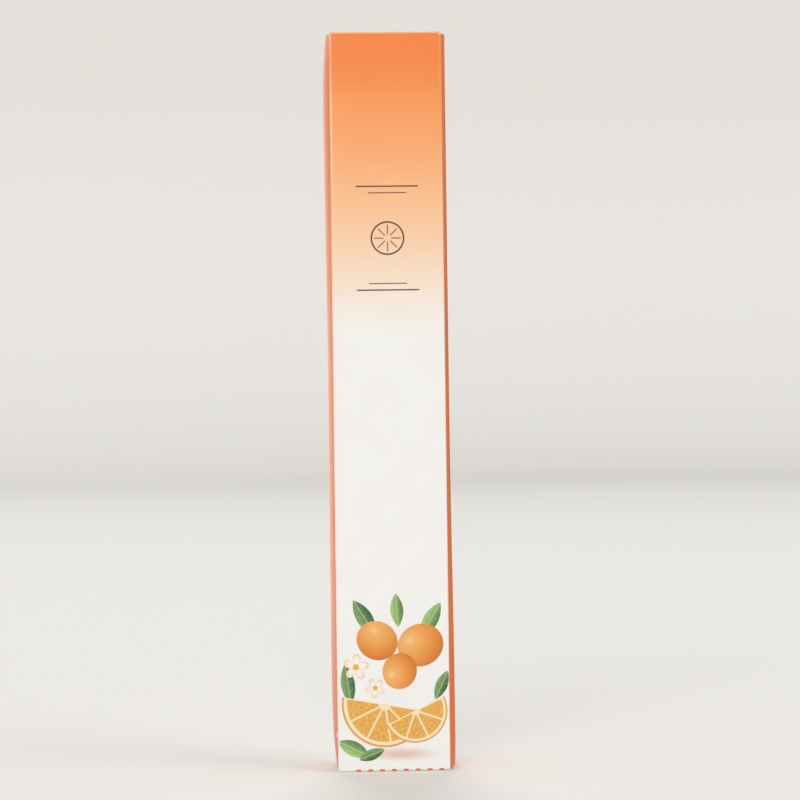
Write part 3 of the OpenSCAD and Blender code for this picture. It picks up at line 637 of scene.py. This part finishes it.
class CARTON_OT_materials(bpy.types.Operator):
    """Makes every material of the carton and the pen, and dresses the CAD nodes that stay as they are"""

    bl_idname = "nail_oil_pen.materials"
    bl_label = "Materials"

    def execute(self, context):
        carton, pen = context.scene.oil_carton, context.scene.oil_pen
        printed_carton_board(carton)
        orange_closure_board(carton)
        glossy_white_abs(pen)
        for make in (raw_pulp_back, cut_board_edge, clear_petg, turned_pom, soft_pe, drawn_steel, seal_rubber,
                     nylon_filament):
            make()
        dressed = {
            "glue_flap": "raw_pulp_back", "thread_nut": "turned_pom", "rear_bush": "turned_pom",
            "fixed_ratchet_crown": "turned_pom", "sliding_ratchet_crown": "glossy_white_abs",
            "drive_sleeve": "turned_pom", "piston_rod": "turned_pom", "ferrule_o_ring": "seal_rubber",
            "feed_tube": "drawn_steel", "cap_liner": "soft_pe",
        }
        for node, name in dressed.items():
            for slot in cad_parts[node].material_slots:
                slot.link = "OBJECT"
                slot.material = bpy.data.materials[name]
        return {"FINISHED"}


# ---------------------------------------------------------------- carton pieces


# Bow of each side panel up its height in millimetres, as a share of its most, read off the photograph
LEFT_BOW = [(0, 0.05), (2, 0.25), (6, 0.55), (12, 0.72), (24, 0.82), (40, 0.8), (84, 0.76), (115, 0.94),
            (130, 1.0), (136, 1.0), (141, 0.86), (145, 0.62), (147, 0.5)]
RIGHT_BOW = [(0, 0.87), (2, 0.96), (6, 1.0), (24, 0.97), (43, 0.84), (63, 0.73), (101, 0.7), (117, 0.71), (133, 0.69),
             (147, 0.7)]
# How far the folds of the dust flaps bulge past the ends where their side panel is fully bowed
SWELL = 0.3 * MM
# How far from the ends that bulge reaches
SWELL_REACH = 1.2 * MM


def bow_out(piece, settings):
    """Bows the side panels in a piece outwards, evenly but for their edges, by a table up their height."""
    pick(piece)
    half = BACK - CREASE
    top = piece.vertex_groups.new(name="top_swell")
    foot = piece.vertex_groups.new(name="foot_swell")
    # The right panel is the stiffer one and bends closer to its creases
    for name, side, most, table, fullness in (("left_bow", -1, settings.left_bow, LEFT_BOW, 3.2),
                                              ("right_bow", 1, settings.right_bow, RIGHT_BOW, 5.0)):
        group = piece.vertex_groups.new(name=name)
        for v in piece.data.vertices:
            # The bow fades in over a fold's width, so that a fold stays joined to its panel
            out = min(1, (v.co.x * side - HALF + FOLD) / (0.8 * FOLD))
            if out <= 0 or abs(v.co.y) > half:
                continue
            z = v.co.z / MM
            for (low, a), (high, b) in zip(table, table[1:]):
                if low <= z <= high:
                    share = a + (b - a) * (z - low) / (high - low)
            weight = min(1, out * share * (1 - abs(v.co.y / half) ** fullness))
            group.add([v.index], weight, "REPLACE")
            if abs(v.co.z - HEIGHT / 2) > HEIGHT / 2 - SWELL_REACH:
                (top if v.co.z > HEIGHT / 2 else foot).add([v.index], weight, "REPLACE")
        modify(piece, "DISPLACE", direction="X", mid_level=0, strength=side * most, vertex_group=name)
    for name, rise in (("top_swell", SWELL), ("foot_swell", -SWELL)):
        modify(piece, "DISPLACE", direction="Z", mid_level=0, strength=rise, vertex_group=name)


class CARTON_OT_sleeve(bpy.types.Operator):
    """The carton's tube, with rounded creases, bowed side panels and the ends cut for their closures"""

    bl_idname = "nail_oil_pen.sleeve"
    bl_label = "Sleeve"

    def execute(self, context):
        settings = context.scene.oil_carton
        tube = begin("carton_tube", bpy.ops.mesh.primitive_cube_add, size=1, location=(0, 0, HEIGHT / 2),
                     stretch=(2 * HALF, BACK - FRONT, HEIGHT))
        choose("FACE", lambda c, n: abs(n.z) > 0.9)
        bpy.ops.mesh.delete(type="FACE")
        choose("EDGE", lambda c, n: abs(c[0].z - c[1].z) > HEIGHT / 2)
        bpy.ops.mesh.bevel(offset=CREASE, segments=4, affect="EDGES")
        top_flap, low_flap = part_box("top_dust_flap_left"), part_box("bottom_dust_flap_left")
        # Closer rows where the bow changes fastest, near the ends
        rows = [2, 4, 6, 9, 12, 16, *range(22, 126, 8), 131, 135, 138, 141, 143, 145]
        slice_at([FLAP_END, PANEL_END, HEIGHT - FLAP_END, HEIGHT - PANEL_END] + [r * MM for r in rows], 2)
        slice_at([top_flap[0].y, low_flap[1].y, top_flap[1].y, low_flap[0].y] +
                 [y * MM for y in (-7.2, -6.4, -3.8, -1.9, 0, 1.9, 3.8, 6.4, 7.2)], 1)
        slice_at([x * MM for x in (-7, -3.5, 0, 3.5, 7)], 0)

        def past_the_end(corners, _):
            spot = middle(corners)
            for flap, gone in ((top_flap, HEIGHT - spot.z), (low_flap, spot.z)):
                beside = flap[0].y < spot.y < flap[1].y
                if gone < (FLAP_END if beside else PANEL_END) - SAME:
                    return True
            return False

        choose("FACE", past_the_end)
        bpy.ops.mesh.delete(type="FACE")
        take_all()
        bpy.ops.mesh.remove_doubles(threshold=SAME)
        recalculate()
        bow_out(tube, settings)
        board_up(tube, "printed_carton_board")
        close(tube, "carton", (), ("carton_sleeve",), smooth=40)
        return {"FINISHED"}


def to_foot():
    """Turns what is being edited from the top of the carton to its foot, about the X axis at half height."""
    take_all()
    bpy.ops.transform.rotate(value=math.pi, orient_axis="X", center_override=(0, 0, HEIGHT / 2))


def face_out(piece):
    """Turns an open sheet over if its flat part, which lies uppermost, faces down."""
    choose("FACE", lambda c, n: n.z < -0.5)
    if any(f.select for f in bmesh.from_edit_mesh(piece.data).faces):
        take_all()
        bpy.ops.mesh.flip_normals()


def bend(piece, bodies, axis, reach, at_foot, nodes=()):
    """Finishes board at a joint: gives it the board's thickness and orange print, fixes it where it stands and hides
    the nodes it stands for. The ends of a short reach to both sides of the joint's axis are worked out, but nothing
    bends the board over them.

    The axis and the reach are given for the top of the carton, and turned over for its foot.
    """
    ends = [Vector([a + sign * r for a, r in zip(axis, reach)]) for sign in (1, -1)]
    if at_foot:
        ends = [Vector((p.x, -p.y, HEIGHT - p.z)) for p in ends]
    board_up(piece, "orange_closure_board")
    close(piece, (*bodies, *ends), (), nodes)


def end_closure(name, lid_node, tuck_node, at_foot):
    """One end's lid and tuck flap as one sheet, folded at the free edge, with the two locking slits beside it."""
    low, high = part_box(tuck_node)
    # The flap is drawn against the panel that it tucks behind, where the solid keeps room to swing
    face = FRONT + BOARD + 0.12 * MM
    tip = HEIGHT - high.z if at_foot else low.z
    hinge = BACK - FOLD
    # The lid lies over the ends of the side panels, and below its fold the sheet drops in between them
    between, tuck_half = LID_HALF - 0.2 * MM, high.x
    # The two slits that lock the flap lie behind the edge of the panel that it tucks behind
    slit_half, slit_top, slit_foot = LID_HALF - 2.2 * MM, HEIGHT - 0.8 * MM, HEIGHT - 0.92 * MM
    fold, corner = 0.4 * MM, 2.4 * MM
    sheet = begin(name, bpy.ops.mesh.primitive_plane_add, size=1, location=(0, (hinge + face) / 2, HEIGHT),
                  stretch=(2 * LID_EDGE, hinge - face, 1))
    choose("EDGE", lambda c, n: all(p.y < face + SAME for p in c))
    pull(z=tip - HEIGHT)
    choose("EDGE", lambda c, n: all(abs(p.y - face) < SAME and abs(p.z - HEIGHT) < SAME for p in c))
    bpy.ops.mesh.bevel(offset=fold, segments=5, affect="EDGES")
    slice_at([s * v for s in (-1, 1) for v in (slit_half, tuck_half, between, 4 * MM)], 0)
    slice_at([hinge - 3.5 * MM, 0, face + 3.5 * MM], 1)
    slice_at([slit_top, slit_foot, HEIGHT - 1.6 * MM, HEIGHT - 3 * MM, HEIGHT - 5 * MM], 2)

    def away(corners, _):
        spot = middle(corners)
        in_slit = slit_foot < spot.z < slit_top and abs(spot.x) > slit_half
        wide = spot.z < HEIGHT - fold and abs(spot.x) > between
        return in_slit or wide or (spot.z < slit_top and abs(spot.x) > tuck_half)

    choose("FACE", away)
    bpy.ops.mesh.delete(type="FACE")
    choose("VERT", lambda c, n: abs(c[0].z - tip) < SAME and abs(abs(c[0].x) - tuck_half) < SAME)
    bpy.ops.mesh.bevel(offset=corner, segments=7, affect="VERTICES")
    recalculate()
    face_out(sheet)
    if at_foot:
        to_foot()
    body = "bottom" if at_foot else "top"
    bend(sheet, (body + "_lid", body + "_tuck"), (0, face + BOARD / 2, HEIGHT - BOARD / 2),
         (0, 0.3 * MM, 0.3 * MM), at_foot, (lid_node, tuck_node))


def hinge_fold(name, at_foot):
    """The fold that joins a lid to its panel, as a quarter round of board."""
    strip = begin(name, bpy.ops.mesh.primitive_plane_add, size=1, location=(0, BACK - FOLD / 2, HEIGHT),
                  stretch=(2 * LID_EDGE, FOLD, 1))
    choose("EDGE", lambda c, n: all(p.y > BACK - SAME for p in c))
    pull(z=-FOLD)
    choose("EDGE", lambda c, n: all(abs(p.y - BACK) < SAME and abs(p.z - HEIGHT) < SAME for p in c))
    bpy.ops.mesh.bevel(offset=FOLD - 0.01 * MM, segments=6, affect="EDGES")
    slice_at([x * MM for x in (-8, -4, 0, 4, 8)], 0)
    face_out(strip)
    if at_foot:
        to_foot()
    bend(strip, ("carton", "bottom_lid" if at_foot else "top_lid"), (0, BACK - BOARD / 2, HEIGHT - BOARD / 2),
         (0, 0.26 * MM, -0.26 * MM), at_foot)


class CARTON_OT_closures(bpy.types.Operator):
    """The lids with their tuck flaps, and the folds that join them to the tube"""

    bl_idname = "nail_oil_pen.closures"
    bl_label = "Closures"

    def execute(self, context):
        end_closure("top_closure", "top_lid", "top_tuck_flap", False)
        end_closure("bottom_closure", "bottom_lid", "bottom_tuck_flap", True)
        hinge_fold("top_hinge_fold", False)
        hinge_fold("bottom_hinge_fold", True)
        return {"FINISHED"}


def dust_flap(node, at_foot, side):
    """One dust flap with the fold that joins it to its side panel."""
    low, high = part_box(node)
    near, far = (-high.y, -low.y) if at_foot else (low.y, high.y)
    level = HEIGHT - low.z if at_foot else high.z
    tip = min(abs(low.x), abs(high.x))
    root = HALF - FOLD
    flap = begin(node + "_sheet", bpy.ops.mesh.primitive_plane_add, size=1,
                 location=((root + tip) / 2, (near + far) / 2, level), stretch=(root - tip, far - near, 1))
    taper, corner, fold = 0.55 * (root - tip), 1.2 * MM, 0.33 * MM
    choose("VERT", lambda c, n: c[0].x < tip + SAME and c[0].y > far - SAME)
    bpy.ops.transform.translate(value=(0, -taper, 0))
    choose("VERT", lambda c, n: c[0].x < tip + SAME and c[0].y < near + SAME)
    bpy.ops.mesh.bevel(offset=corner, segments=1, affect="VERTICES")
    choose("EDGE", lambda c, n: all(p.x > root - SAME for p in c))
    pull(x=FOLD)
    pull(z=HEIGHT - FLAP_END - level)
    choose("EDGE", lambda c, n: all(abs(p.x - HALF) < SAME and abs(p.z - level) < SAME for p in c))
    bpy.ops.mesh.bevel(offset=fold, segments=6, affect="EDGES")
    slice_at([y * MM for y in (-3.8, -1.9, 0, 1.9, 3.8)], 1)
    slice_at([5 * MM, 8.5 * MM], 0)
    face_out(flap)
    if side < 0:
        take_all()
        bpy.ops.transform.resize(value=(-1, 1, 1), center_override=(0, 0, 0))
        bpy.ops.mesh.flip_normals()
    if at_foot:
        to_foot()
    bow_out(flap, bpy.context.scene.oil_carton)
    reach = 0.26 * MM
    bend(flap, ("carton", node.replace("dust_flap", "dust")), (side * (HALF - BOARD / 2), 0, level - BOARD / 2),
         (side * reach, 0, -reach), at_foot, (node,))


class CARTON_OT_dust_flaps(bpy.types.Operator):
    """The four dust flaps under the lids"""

    bl_idname = "nail_oil_pen.dust_flaps"
    bl_label = "Dust Flaps"

    def execute(self, context):
        for end in ("top", "bottom"):
            for side, word in ((-1, "left"), (1, "right")):
                dust_flap(f"{end}_dust_flap_{word}", end == "bottom", side)
        return {"FINISHED"}


# ---------------------------------------------------------------- pen pieces


def turned(name, profile, sides=96):
    """Turns a piece about the upright axis: a ring is pushed from point to point of a (radius, height) profile in mm.

    A profile that ends where it starts is a tube. Any other has its two open ends closed with flat faces.
    """
    (radius, height), rest = profile[0], profile[1:]
    piece = begin(name, bpy.ops.mesh.primitive_circle_add, vertices=sides, radius=radius * MM,
                  fill_type="NOTHING", location=(0, 0, height * MM))
    for point in rest:
        pull(z=(point[1] - height) * MM)
        share = point[0] / radius
        bpy.ops.transform.resize(value=(share, share, 1), center_override=(0, 0, point[1] * MM))
        radius, height = point
    take_all()
    if profile[-1] == profile[0]:
        bpy.ops.mesh.remove_doubles(threshold=2 * SAME)
    else:
        bpy.ops.mesh.fill_holes(sides=0)
    recalculate()
    return piece


def soften(piece, width):
    """Rounds a piece's hard edges, as the tool that makes it does."""
    modify(piece, "BEVEL", width=width, segments=2, limit_method="ANGLE", angle_limit=HARD)


def round_edge(radius, height, reach, steps=6):
    """Profile points of a quarter round that ends a side at a radius and starts a top at a height."""
    return [(radius - reach + reach * math.cos(a), height - reach + reach * math.sin(a))
            for a in (math.pi / 2 * i / steps for i in range(steps + 1))]


class PEN_OT_cap(bpy.types.Operator):
    """The pen's cap, with a grip groove at its mouth and the mark of the moulding gate on its end"""

    bl_idname = "nail_oil_pen.cap"
    bl_label = "Cap"

    def execute(self, context):
        mouth, end = span("pen_cap")
        out, bore, seat, step = 5.7, 4.6, 4.5, mouth + 9.2
        groove, gate = 0.12, 0.95
        cap = turned("cap_shell", [
            (bore, end - 1.4), (bore, step), (seat, step), (seat, mouth + 0.25), (seat + 0.25, mouth),
            (out, mouth), (out, mouth + 1.6), (out - groove, mouth + 1.72), (out - groove, mouth + 2.08),
            (out, mouth + 2.2), *round_edge(out, end, 1.6, 8), (gate, end), (gate - 0.1, end - 0.12)])
        soften(cap, context.scene.oil_pen.softening * 0.6)
        close(cap, "cap", ("glossy_white_abs",), ("pen_cap",))
        return {"FINISHED"}


class PEN_OT_barrel(bpy.types.Operator):
    """The clear barrel with its neck and snap bead, and the bright ring pressed on its shoulder"""

    bl_idname = "nail_oil_pen.barrel"
    bl_label = "Barrel"

    def execute(self, context):
        foot, end = span("pen_barrel")
        shoulder = end - 8
        out, seat, neck = 5.2, 4.95, 4.36
        # The bore steps out for the drive at its rear and in for the ferrule in its neck
        rear, bore, outlet, step = 4.3, 4.1, 3.56, 49.45
        barrel = turned("barrel_tube", [
            (rear, foot), (out, foot), (out, shoulder - 2.2), (seat, shoulder - 2.2), (seat, shoulder),
            (neck, shoulder), (neck, end - 2.5), (neck + 0.1, end - 2), (neck, end - 1.5), (neck, end),
            (outlet, end), (outlet, shoulder), (3.7, shoulder - 0.3), (bore, shoulder - 0.8), (bore, step),
            (rear, step), (rear, foot)])
        soften(barrel, context.scene.oil_pen.softening * 0.6)
        close(barrel, "pen", ("clear_petg",), ("pen_barrel",))
        low, high = span("collar_ring")
        rim, hole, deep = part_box("collar_ring")[1].x / MM, seat + 0.03, 0.09
        band = [(hole, low), (rim, low)]
        for level in (low + 0.55, low + 1.5):
            band += [(rim, level), (rim - deep, level + 0.04), (rim - deep, level + 0.14), (rim, level + 0.18)]
        collar = turned("collar_band", band + [(rim, high), (hole, high), (hole, low)])
        soften(collar, 0.04 * MM)
        close(collar, "pen", ("drawn_steel",), ("collar_ring",))
        return {"FINISHED"}


class PEN_OT_ferrule(bpy.types.Operator):
    """The brush's ferrule: plug with its seal groove, stop flange and cone"""

    bl_idname = "nail_oil_pen.ferrule"
    bl_label = "Ferrule"

    def execute(self, context):
        low, tip = span("brush_ferrule")
        flange, inlet = low + 7.5, low + 5
        plug, groove, stop, socket, tube = 3.51, 2.41, 4.36, 1.97, 0.62
        ferrule = turned("ferrule_body", [
            (1.4, low), (plug, low), (plug, low + 2.35), (groove, low + 2.35), (groove, low + 3.65),
            (plug, low + 3.65), (plug, flange), (stop, flange), (stop, flange + 1.2), (3.3, flange + 1.2),
            (3.05, flange + 3.0), (2.5, tip), (socket, tip), (socket, tip - 5), (tube, tip - 5), (tube, inlet),
            (1.4, inlet), (1.4, low)])
        soften(ferrule, context.scene.oil_pen.softening * 0.6)
        close(ferrule, "pen", ("glossy_white_abs",), ("brush_ferrule",))
        return {"FINISHED"}


class PEN_OT_bristles(bpy.types.Operator):
    """The brush: single filaments that swell to a belly and close to a trimmed tip"""

    bl_idname = "nail_oil_pen.bristles"
    bl_label = "Bristles"

    def execute(self, context):
        settings = context.scene.oil_pen
        foot, tip = span("brush_bristles")
        foot, tip = foot + 0.05, tip - 0.15
        mouth = tip - 13.85
        free = tip - mouth
        thick = 0.115
        brush = begin("brush_filaments", bpy.ops.mesh.primitive_cylinder_add, vertices=5, radius=thick * MM,
                      depth=(tip - foot) * MM, location=(0, 0, (tip + foot) / 2 * MM))
        levels = [(0.0, 1.0), (0.12, 1.07), (0.25, 1.1), (0.45, 1.02), (0.7, 0.8), (0.85, 0.54), (0.94, 0.34),
                  (1.0, 0.16)]
        slice_at([(mouth + free * share) * MM for share, _ in levels[:-1]], 2)
        take_all()
        at = Vector((0, 0, 0))
        # Between the feed tube and the wall of the socket
        inner, outer = 0.62 + thick + 0.02, 1.9 - thick
        golden_angle = math.pi * (3 - math.sqrt(5))
        for i in range(settings.strands):
            # Filaments stand on a sunflower pattern round the feed tube, each as far from its neighbours as the next
            reach = math.sqrt(inner ** 2 + (outer ** 2 - inner ** 2) * (i + 0.5) / settings.strands) * MM
            spot = Vector((reach * math.cos(i * golden_angle), reach * math.sin(i * golden_angle), 0))
            if i:
                bpy.ops.mesh.duplicate()
            bpy.ops.transform.translate(value=spot - at)
            at = spot
        for share, width in levels[1:]:
            level = (mouth + free * share) * MM
            choose("VERT", lambda c, n: abs(c[0].z - level) < 0.02 * MM)
            bpy.ops.transform.resize(value=(width, width, 1), center_override=(0, 0, level))
        choose("VERT", lambda c, n: c[0].z > (tip - 0.02) * MM)
        bpy.ops.transform.vertex_random(offset=0.25 * MM, normal=0.0, seed=4)
        recalculate()
        close(brush, "pen", ("nylon_filament",), ("brush_bristles",), smooth=60)
        return {"FINISHED"}


class PEN_OT_knob(bpy.types.Operator):
    """The fluted twist knob and the bright plug in its end"""

    bl_idname = "nail_oil_pen.knob"
    bl_label = "Knob"

    def execute(self, context):
        low, high = span("twist_knob")
        # The bore is open at both ends, round a web with a hole for the screw
        out, bore, hole, plug_seat = 5.2, 4.1, 3.0, 4.65
        web_foot, web_top = low + 6.5, high - 7
        knob = turned("knob_shell", [
            (hole, web_foot), (bore, web_foot), (bore, low + 1.01), (plug_seat, low + 1.01), (plug_seat, low),
            (out - 0.4, low), (out - 0.1, low + 0.12), (out, low + 0.4), (out, high - 0.15), (out - 0.15, high),
            (bore, high), (bore, web_top), (hole, web_top), (hole, web_foot)], sides=160)
        cutter = begin("flute_cutter", bpy.ops.mesh.primitive_cylinder_add, vertices=24, radius=0.6 * MM,
                       depth=(high - low - 4) * MM, location=((out + 0.35) * MM, 0, (low + high) / 2 * MM))
        choose("EDGE", lambda c, n: abs(c[0].z - c[1].z) < SAME)
        bpy.ops.mesh.bevel(offset=0.4 * MM, segments=4, affect="EDGES")
        take_all()
        flutes = 20
        for _ in range(flutes - 1):
            bpy.ops.mesh.duplicate()
            bpy.ops.transform.rotate(value=2 * math.pi / flutes, orient_axis="Z", center_override=(0, 0, 0))
        modify(knob, "BOOLEAN", object=cutter, operation="DIFFERENCE", solver="EXACT")
        bpy.data.objects.remove(cutter)
        soften(knob, 0.05 * MM)
        close(knob, "knob", ("glossy_white_abs",), ("twist_knob",), smooth=40)
        foot, top = span("knob_end_plug")
        stem, rim, flange = 4.08, 4.6, foot + 1
        plug = turned("end_plug", [
            (hole, flange), (hole, top), (stem, top), (stem, flange), (rim, flange), (rim, foot), (3.2, foot),
            (3.1, foot + 0.1), (2.5, foot + 0.1), (2.4, foot), (0.9, foot)])
        soften(plug, 0.06 * MM)
        close(plug, "knob", ("drawn_steel",), ("knob_end_plug",))
        return {"FINISHED"}


class PEN_OT_spring(bpy.types.Operator):
    """The ratchet's coil spring, wound from round wire"""

    bl_idname = "nail_oil_pen.spring"
    bl_label = "Spring"

    def execute(self, context):
        low, high = span("ratchet_spring")
        wire, coils, round_at = 0.25, 6, 3.725
        spring = begin("coil_spring", bpy.ops.mesh.primitive_circle_add, vertices=12, radius=wire * MM,
                       fill_type="NOTHING", location=(round_at * MM, 0, (low + wire) * MM),
                       rotation=(math.pi / 2, 0, 0))
        modify(spring, "SCREW", axis="Z", angle=2 * math.pi, screw_offset=(high - low - 2 * wire) / coils * MM,
               iterations=coils, steps=40, render_steps=40)
        bpy.ops.object.mode_set(mode="EDIT")
        take_all()
        bpy.ops.mesh.remove_doubles(threshold=SAME)
        bpy.ops.mesh.fill_holes(sides=0)
        bpy.ops.mesh.normals_make_consistent(inside=False)
        close(spring, "knob", ("drawn_steel",), ("ratchet_spring",), smooth=60)
        return {"FINISHED"}


class PEN_OT_piston(bpy.types.Operator):
    """The piston with its two sealing lips and the socket for the screw's head"""

    bl_idname = "nail_oil_pen.piston"
    bl_label = "Piston"

    def execute(self, context):
        low, top = span("piston")
        seal, waist, socket, neck = 4.08, 3.63, 1.66, 1.2
        piston = turned("piston_seal", [
            (socket, low + 2.7), (socket, low + 1.2), (neck, low + 1.2), (neck, low), (seal - 0.1, low),
            (seal, low + 0.1), (seal, low + 1.1), (waist, low + 2.2), (waist, top - 3.2), (seal, top - 2.1),
            (seal, top - 1), (waist, top - 1), (waist - 0.6, top - 0.55), (1.6, top)])
        soften(piston, context.scene.oil_pen.softening * 0.5)
        close(piston, "piston", ("soft_pe",), ("piston",))
        return {"FINISHED"}


# ---------------------------------------------------------------- studio


class CARTON_OT_studio(bpy.types.Operator):
    """The pale sweep, the soft lamps and the camera"""

    bl_idname = "nail_oil_pen.studio"
    bl_label = "Studio"

    def execute(self, context):
        scene = context.scene
        settings = scene.oil_studio
        material = bpy.data.materials.new("paper_sweep")
        add = fresh_tree(material)
        place = add("TexCoord").outputs["Object"]
        tooth = add("TexNoise", Vector=place, Scale=400.0, Detail=2.0)
        tone = add("Mix RGBA", add("MapRange", tooth, 0.3, 0.7, 0.0, 0.04), settings.pale, "#c9c6c0")
        # What the camera and glass see of the paper is lifted a little, and its shadows stay
        rays = add("LightPath").outputs
        seen = add("Math MAXIMUM", rays["Is Camera Ray"], rays["Is Transmission Ray"])
        # Painted reflection: glossy rays see the paper glow brightly on the left and fade to a dark right, which
        # paints a sheen on the carton's left side and darkens its right
        gloss = add("Math SUBTRACT", rays["Is Glossy Ray"], rays["Is Transmission Ray"], use_clamp=True)
        across = add("SeparateXYZ", place).outputs[0]
        painted_glow_left = add("MapRange", across, 0.02, -0.14, 0.0, 1.5)
        lift_and_painted_glow = add("Math MULTIPLY_ADD", gloss, painted_glow_left, add("Math MULTIPLY", seen, 0.13))
        # Painted dark reflection: glossy rays see the paper on the right darkened
        far = add("Math MULTIPLY", gloss, add("MapRange", across, -0.02, 0.12, 0.0, 0.7))
        add("OutputMaterial", add("BsdfPrincipled", Roughness=0.9, IOR=1.45, **{
            "Base Color": add("Mix RGBA", far, tone, "#2b2a29"), "Emission Color": "#f2f0ec",
            "Emission Strength": lift_and_painted_glow}))
        material.cycles.emission_sampling = "NONE"
        # The backdrop stands far enough back for the lamp behind the carton to reach over it
        sweep = begin("paper_sweep", bpy.ops.mesh.primitive_plane_add, size=1, location=(0, 0.3, 0),
                      stretch=(5, 4, 1))
        rear = 2.3
        choose("EDGE", lambda c, n: all(p.y > rear - 0.01 for p in c))
        pull(z=0.6)
        choose("EDGE", lambda c, n: all(p.y > rear - 0.01 and p.z < 0.01 for p in c))
        bpy.ops.mesh.bevel(offset=0.4, segments=24, affect="EDGES")
        pick(sweep)
        bpy.ops.object.shade_smooth()
        sweep.data.materials.append(material)

        scene.world = bpy.data.worlds.new("soft_room")
        add = fresh_tree(scene.world)
        rays = add("LightPath").outputs
        seen = add("Math MAXIMUM", rays["Is Camera Ray"], rays["Is Glossy Ray"])
        seen = add("Math MAXIMUM", seen, rays["Is Transmission Ray"])
        add("OutputWorld", add("Background", "#f3f2f0", add("Math MULTIPLY_ADD", seen, 0.4, 0.5)))

        # Three far, broad lamps: each is turned round the carton from its front and raised, in degrees
        for name, around, up, share in (
            ("key_light", -16, 26, 1.0), ("fill_light", 62, 28, 0.62), ("back_light", 180, 28, 1.3)):
            bpy.ops.object.light_add(type="SUN", location=(0, 0, 1))
            lamp = context.object
            lamp.name = lamp.data.name = name
            lamp.data.energy = settings.key_strength * share
            lamp.data.angle = math.radians(35)
            turn, rise = math.radians(around), math.radians(up)
            towards = Vector((math.sin(turn) * math.cos(rise), -math.cos(turn) * math.cos(rise), math.sin(rise)))
            lamp.rotation_euler = towards.to_track_quat("Z", "Y").to_euler()

        bpy.ops.object.camera_add(location=(-0.0199, -0.537, 0.0753),
                                  rotation=[math.radians(a) for a in (89.83, 0.75, -2.38)])
        camera = context.object
        camera.name = camera.data.name = "front_camera"
        camera.data.lens = settings.lens
        camera.data.sensor_width = 36
        camera.data.clip_start = 0.01
        camera.data.dof.use_dof = False
        scene.camera = camera
        scene.view_settings.view_transform = "Standard"
        return {"FINISHED"}


class CARTON_PT_panel(bpy.types.Panel):
    """Lists the sizes, the colours and the steps"""

    bl_label = "Nail Oil Pen"
    bl_space_type = "VIEW_3D"
    bl_region_type = "UI"
    bl_category = "Nail Oil Pen"

    def draw(self, context):
        layout = self.layout
        for settings in (context.scene.oil_carton, context.scene.oil_pen, context.scene.oil_studio):
            box = layout.box()
            for name in settings.__annotations__:
                box.prop(settings, name)
        for step in STEPS:
            layout.operator(step.bl_idname)


GROUPS = {"oil_carton": CartonSettings, "oil_pen": PenSettings, "oil_studio": StudioSettings}
STEPS = (CARTON_OT_materials, CARTON_OT_sleeve, CARTON_OT_closures, CARTON_OT_dust_flaps, PEN_OT_cap,
         PEN_OT_barrel, PEN_OT_ferrule, PEN_OT_bristles, PEN_OT_knob, PEN_OT_spring, PEN_OT_piston,
         CARTON_OT_studio)


def register():
    for group in GROUPS.values():
        bpy.utils.register_class(group)
    for name, group in GROUPS.items():
        setattr(bpy.types.Scene, name, bpy.props.PointerProperty(type=group))
    for step in STEPS:
        bpy.utils.register_class(step)
    bpy.utils.register_class(CARTON_PT_panel)


def unregister():
    bpy.utils.unregister_class(CARTON_PT_panel)
    for step in reversed(STEPS):
        bpy.utils.unregister_class(step)
    for name in GROUPS:
        delattr(bpy.types.Scene, name)
    for group in GROUPS.values():
        bpy.utils.unregister_class(group)


def main():
    register()
    for step in STEPS:
        family, name = step.bl_idname.split(".")
        getattr(getattr(bpy.ops, family), name)()


if __name__ == "__main__":
    main()
